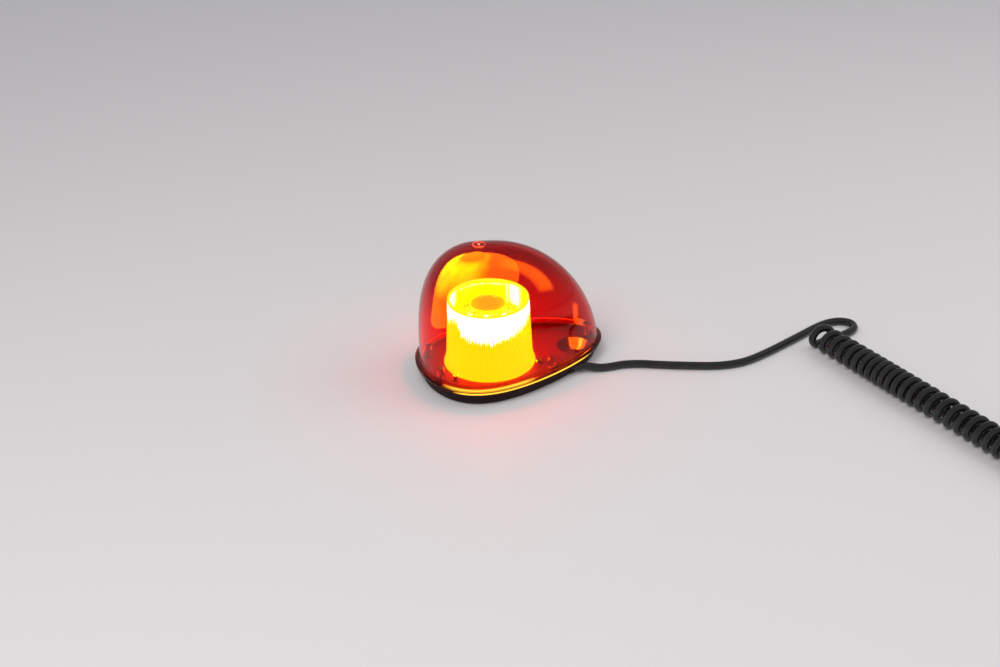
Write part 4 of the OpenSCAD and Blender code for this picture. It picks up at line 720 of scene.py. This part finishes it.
HALF_LENGTH, HALF_WIDTH, MIDDLE_X, TAPER, FILL = 88.5, 57.5, 22.3, 0.29, 0.17
HEAD_POWER, TAIL_POWER, FALL_POWER = 3.65, 1.69, 1.97
DOME_WALL, RIM_HEIGHT, STEP, FOOT = 2.2, 2.5, 1.2, 4.0
DOME_COLUMNS, OUTER_ROWS, INNER_ROWS = 240, 46, 44
POST_ANGLES = np.radians([0, 75, 155, 192, 285])
POST_INSET, POST_HEIGHT, POST_RADIUS, POST_SIDES = 12.0, 12, 3.2, 32
MARK_PROFILE = np.array([(4.8, -1), (5.8, -1), (5.8, 0.2), (5.65, 0.35), (4.95, 0.35), (4.8, 0.2)])
MARK_SIDES = 72


def outline(t, e):
    """Teardrop outline at angle t: an ellipse whose width is scaled by 1 - taper cos t + fill cos^2 t,
    set back by e along its normal."""
    c, s = np.cos(t), np.sin(t)
    k, dk = 1 - TAPER * c + FILL * c * c, TAPER * s - 2 * FILL * c * s
    dx, dy = -HALF_LENGTH * s, HALF_WIDTH * (c * k + s * dk)
    n = np.hypot(dx, dy)
    return np.stack([MIDDLE_X + HALF_LENGTH * c - e * dy / n, HALF_WIDTH * s * k + e * dx / n], axis=-1)


def level_ring(t, e, z):
    """Ring of the teardrop outline set back by e, at height z."""
    return np.concatenate([outline(t, e), np.full((len(t), 1), float(z))], axis=1)


def dome_ring(t, s):
    """Ring of the dome at share s of its height: the foot's outline shrunk towards the top point by
    (1 - s^n)^(1/fall power), where n goes from the head power to the tail power round the ring."""
    p = outline(t, FOOT)
    dx, dy = p[:, 0] - TOP_X, p[:, 1]
    n = HEAD_POWER + (TAIL_POWER - HEAD_POWER) * (1 + dx / np.hypot(dx, dy)) / 2
    g = (1 - s**n) ** (1 / FALL_POWER)
    return np.stack([TOP_X + dx * g, dy * g, np.full(len(t), DOME_Z + DOME_HEIGHT * s)], axis=1)


def dome_normals(t, s):
    """Outward unit normals of the dome along a ring, from the cross product of its two tangents, each
    taken as a small central difference."""
    ds, dt = 1e-5, 1e-4
    up = dome_ring(t, s + ds) - dome_ring(t, s - ds)
    along = dome_ring(t + dt, s) - dome_ring(t - dt, s)
    return unit(np.cross(along, up))


def rounded(points, radius, steps=3):
    """An open profile with each inner corner replaced by a small arc of Bezier steps."""
    out = [points[0]]
    for a, b, c in zip(points, points[1:], points[2:]):
        a, b, c = (np.asarray(q, float) for q in (a, b, c))
        u, v = a - b, c - b
        lu, lv = np.linalg.norm(u), np.linalg.norm(v)
        k = min(radius, lu / 2, lv / 2)
        p, q = b + u / lu * k, b + v / lv * k
        for w in np.linspace(0, 1, steps + 1):
            out.append(tuple((1 - w) ** 2 * p + 2 * w * (1 - w) * b + w * w * q))
    return out + [points[-1]]


def dome_skin():
    """Rim flange, small step, blown wall and its inner wall in one closed skin. Gives its points, its
    faces and the numbers of the faces on the inner wall."""
    n = DOME_COLUMNS
    t = np.arange(n) / n * TAU
    lip, step_z = FOOT - 1.4, RIM_HEIGHT + STEP
    rim = rounded([(5.2, 0), (0, 0), (0, RIM_HEIGHT), (lip, RIM_HEIGHT), (lip, step_z), (FOOT, step_z)], 0.5)
    foot = math.asin(step_z / DOME_HEIGHT)
    rows = [level_ring(t, e, DOME_Z + z) for e, z in rim]
    rows += [dome_ring(t, math.sin(s)) for s in np.linspace(foot, math.pi / 2, OUTER_ROWS)[1:-1]]
    outer = len(rows)
    for s in np.linspace(0, math.pi / 2, INNER_ROWS)[:-1]:
        q = max(math.sin(s), 1e-4)
        rows.append(dome_ring(t, q) - DOME_WALL * dome_normals(t, q))
    tips = [[TOP_X, 0, DOME_TOP], [TOP_X, 0, DOME_TOP - DOME_WALL]]
    tip = n * len(rows)
    faces = [*grid_faces(outer, n), *fan_faces(np.arange(n) + n * (outer - 1), tip)]
    start = len(faces)
    faces += [*grid_faces(len(rows) - outer, n, n * outer, flip=True)]
    faces += [*fan_faces(np.arange(n) + n * (len(rows) - 1), tip + 1, flip=True)]
    inner = np.arange(start, len(faces))
    faces += [*bridge_faces(n * outer, 0, n)]
    return np.vstack(rows + [tips]), faces, inner


def post(centre, z0, z1, radius):
    """Closed upright cylinder with a slightly domed top."""
    sides = POST_SIDES
    a = np.arange(sides) / sides * TAU
    rows = [(radius, z0), (radius, z1 - 0.6), (radius - 0.2, z1 - 0.15), (radius - 0.6, z1)]
    points = [np.stack([centre[0] + r * np.cos(a), centre[1] + r * np.sin(a), np.full(sides, z)], axis=1)
              for r, z in rows]
    points += [[[centre[0], centre[1], z0]], [[centre[0], centre[1], z1]]]
    ring, tip = np.arange(sides), sides * len(rows)
    faces = [*grid_faces(len(rows), sides), *fan_faces(ring, tip, flip=True)]
    faces += [*fan_faces(ring + sides * (len(rows) - 1), tip + 1)]
    return np.vstack(points), faces


def mark_ring():
    """The gate mark's ring: its profile of radii and heights turned round the dome's top point."""
    r, z = MARK_PROFILE.T
    a = np.arange(MARK_SIDES)[:, None] / MARK_SIDES * TAU
    points = np.stack([TOP_X + r * np.cos(a), r * np.sin(a), DOME_TOP + z + 0 * a], axis=-1).reshape(-1, 3)
    k = np.arange(len(points)).reshape(MARK_SIDES, -1)
    k = np.vstack([k, k[:1]])
    quads = np.stack([k[:-1], k[1:], np.roll(k[1:], -1, 1), np.roll(k[:-1], -1, 1)], axis=-1)
    return points, [*quads.reshape(-1, 4)]


def make_dome():
    """Clear dome: its skin with screw posts and the gate mark on top."""
    skin, faces, inner = dome_skin()
    extras = [post(outline(np.array([a]), POST_INSET)[0], DECK_Z, DECK_Z + POST_HEIGHT, POST_RADIUS)
              for a in POST_ANGLES]
    extras += [mark_ring(), post((TOP_X, 0), DOME_TOP - 0.5, DOME_TOP + 0.7, 1.0)]
    points = [skin]
    for extra, extra_faces in extras:
        start = sum(map(len, points))
        points.append(extra)
        faces += [f + start for f in extra_faces]
    dome = new_piece("dome_shell", np.vstack(points) * MM, faces, "base", DOME_RED)
    dome.data.materials.append(DOME_INNER)
    index = np.zeros(len(dome.data.polygons), int)
    index[inner] = 1
    dome.data.polygons.foreach_set("material_index", index)
    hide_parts("dome")


make_dome()

# Fluted lens

LENS_FOOT, LENS_WAIST, LENS_RIM, FLARE_H = 41.0, 38.3, 35.9, 14.0
LENS_WALL, LENS_LIP, FLUTE_DEPTH, FLUTE_COLUMNS = 2.2, 0.4, 0.6, 6


def lens_radius(z):
    """Radius of the lens at height z above the deck: a flare that falls off as a square, then a
    straight taper."""
    flare = LENS_WAIST + (LENS_FOOT - LENS_WAIST) * np.clip(1 - z / FLARE_H, 0, 1) ** 2
    taper = LENS_WAIST + (LENS_RIM - LENS_WAIST) * (z - FLARE_H) / (LENS_H - FLARE_H)
    return np.where(z < FLARE_H, flare, taper)


def make_lens():
    """Lens: half-round flutes on a flared, slightly tapered wall, with a plain rim at the open top."""
    columns = FLUTES * FLUTE_COLUMNS
    t = np.arange(columns) / columns * TAU
    s = 2 * ((t * FLUTES / TAU) % 1) - 1
    groove = 1 - np.sqrt(np.clip(1 - s**2, 0, 1))

    def ring(r, z):
        """One row of the lens at height z above the deck."""
        return np.stack([r * np.cos(t), r * np.sin(t), np.full(columns, z)], axis=1)

    fluted_top = LENS_H - 2.0
    flared, straight = np.linspace(0, FLARE_H, 8), np.linspace(FLARE_H, LENS_H - 2.2, 12)
    heights = np.concatenate([flared, straight[1:], [fluted_top]])
    deep = np.clip((heights - 3) / 6, 0, 1) * (heights < LENS_H - 2.1)
    rows = [ring(lens_radius(z) - FLUTE_DEPTH * d * groove, z) for z, d in zip(heights, deep)]
    bore = LENS_RIM - LENS_WALL
    plain = [(LENS_RIM, LENS_H - LENS_LIP), (LENS_RIM - LENS_LIP, LENS_H),
             (bore + LENS_LIP, LENS_H), (bore, LENS_H - LENS_LIP)]
    plain += [(float(lens_radius(np.float64(z))) - LENS_WALL, z) for z in np.linspace(fluted_top, 0, 14)]
    rows += [ring(r, z) for r, z in plain]
    points = np.vstack(rows) + [0, 0, DECK_Z]
    faces = [*grid_faces(len(rows), columns), *bridge_faces(columns * (len(rows) - 1), 0, columns)]
    lens = new_piece("lens_body", points * MM, faces, "base", LIT_LENS)
    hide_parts("lens")


make_lens()

# Finishes of the pieces carried over from the CAD model

FINISHES = {
    "boot_rubber": BOOT_BLACK, "ferrite": FERRITE, "plated_steel": STEEL, "screw_steel": STEEL,
    "tray_plastic": TRAY_BLACK, "gasket_foam": GASKET, "dome_plastic": DOME_RED, "lens_plastic": LIT_LENS,
    "wire_red": RED_WIRE, "wire_black": CORD_BLACK, "motor_steel": STEEL, "post_plastic": WHITE_NYLON,
    "brass": BRASS, "washer_nylon": WHITE_NYLON, "bulb_metal": ALUMINIUM, "bulb_glass": CLEAR_GLASS,
    "filament_wire": LIT_WIRE, "gear_plastic": WHITE_NYLON, "mirror": MIRROR, "cap_plastic": CAP_PALE,
    "cord_rubber": CORD_BLACK, "plug_plastic": PLUG_BLACK, "contact_steel": STEEL, "fuse_glass": CLEAR_GLASS,
    "switch_plastic": ROCKER_RED,
}
# The cap's screws take the cap's finish, with its painted light of the lens, in place of steel
for part in frame["record"]["subparts"]:
    for own in nodes[part["node"]].material_slots:
        own.material = CAP_PALE if part["node"] == "rotor_cap_screws" else FINISHES[part["material_slot"]]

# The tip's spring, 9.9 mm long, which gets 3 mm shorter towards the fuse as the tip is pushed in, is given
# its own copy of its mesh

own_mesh(nodes["plug_tip_spring"])

# Floor, world and lamps

FLOOR_HALF, FLOOR_Z = 30.0, -0.0001
FLOOR_COLOUR, WORLD_COLOUR, WORLD_STRENGTH = (0.78, 0.76, 0.75, 1), (0.95, 0.95, 1.0, 1), 0.45
LAMPS = (("key", (-0.9, -0.7, 1.5), 1.2, 16.0), ("fill", (1.2, -0.5, 1.1), 1.4, 6.0))
LAMPS_AIM = Vector((0.1, -0.05, 0.05))


def make_stage():
    """Pale floor, pale world and two soft lamps."""
    mesh = bpy.data.meshes.new("floor")
    corners = [(x * FLOOR_HALF, y * FLOOR_HALF, 0) for x, y in ((-1, -1), (1, -1), (1, 1), (-1, 1))]
    mesh.from_pydata(corners, [], [(0, 1, 2, 3)])
    floor = bpy.data.objects.new("floor", mesh)
    bpy.context.scene.collection.objects.link(floor)
    floor.location.z = FLOOR_Z
    m = bpy.data.materials.new("pale floor")
    m.use_nodes = True
    m.node_tree.nodes["Principled BSDF"].inputs["Base Color"].default_value = FLOOR_COLOUR
    m.node_tree.nodes["Principled BSDF"].inputs["Roughness"].default_value = 0.55
    mesh.materials.append(m)
    world = bpy.data.worlds.new("studio")
    bpy.context.scene.world = world
    world.use_nodes = True
    background = world.node_tree.nodes["Background"]
    background.inputs["Color"].default_value = WORLD_COLOUR
    background.inputs["Strength"].default_value = WORLD_STRENGTH
    for name, place, size, power in LAMPS:
        data = bpy.data.lights.new(name, "AREA")
        data.shape, data.size, data.energy = "DISK", size, power
        lamp = bpy.data.objects.new(name, data)
        lamp.visible_glossy = False
        bpy.context.scene.collection.objects.link(lamp)
        lamp.location = place
        lamp.rotation_mode = "QUATERNION"
        lamp.rotation_quaternion = (Vector(place) - LAMPS_AIM).to_track_quat("Z", "Y")


make_stage()
bpy.context.scene.view_settings.view_transform = "Standard"
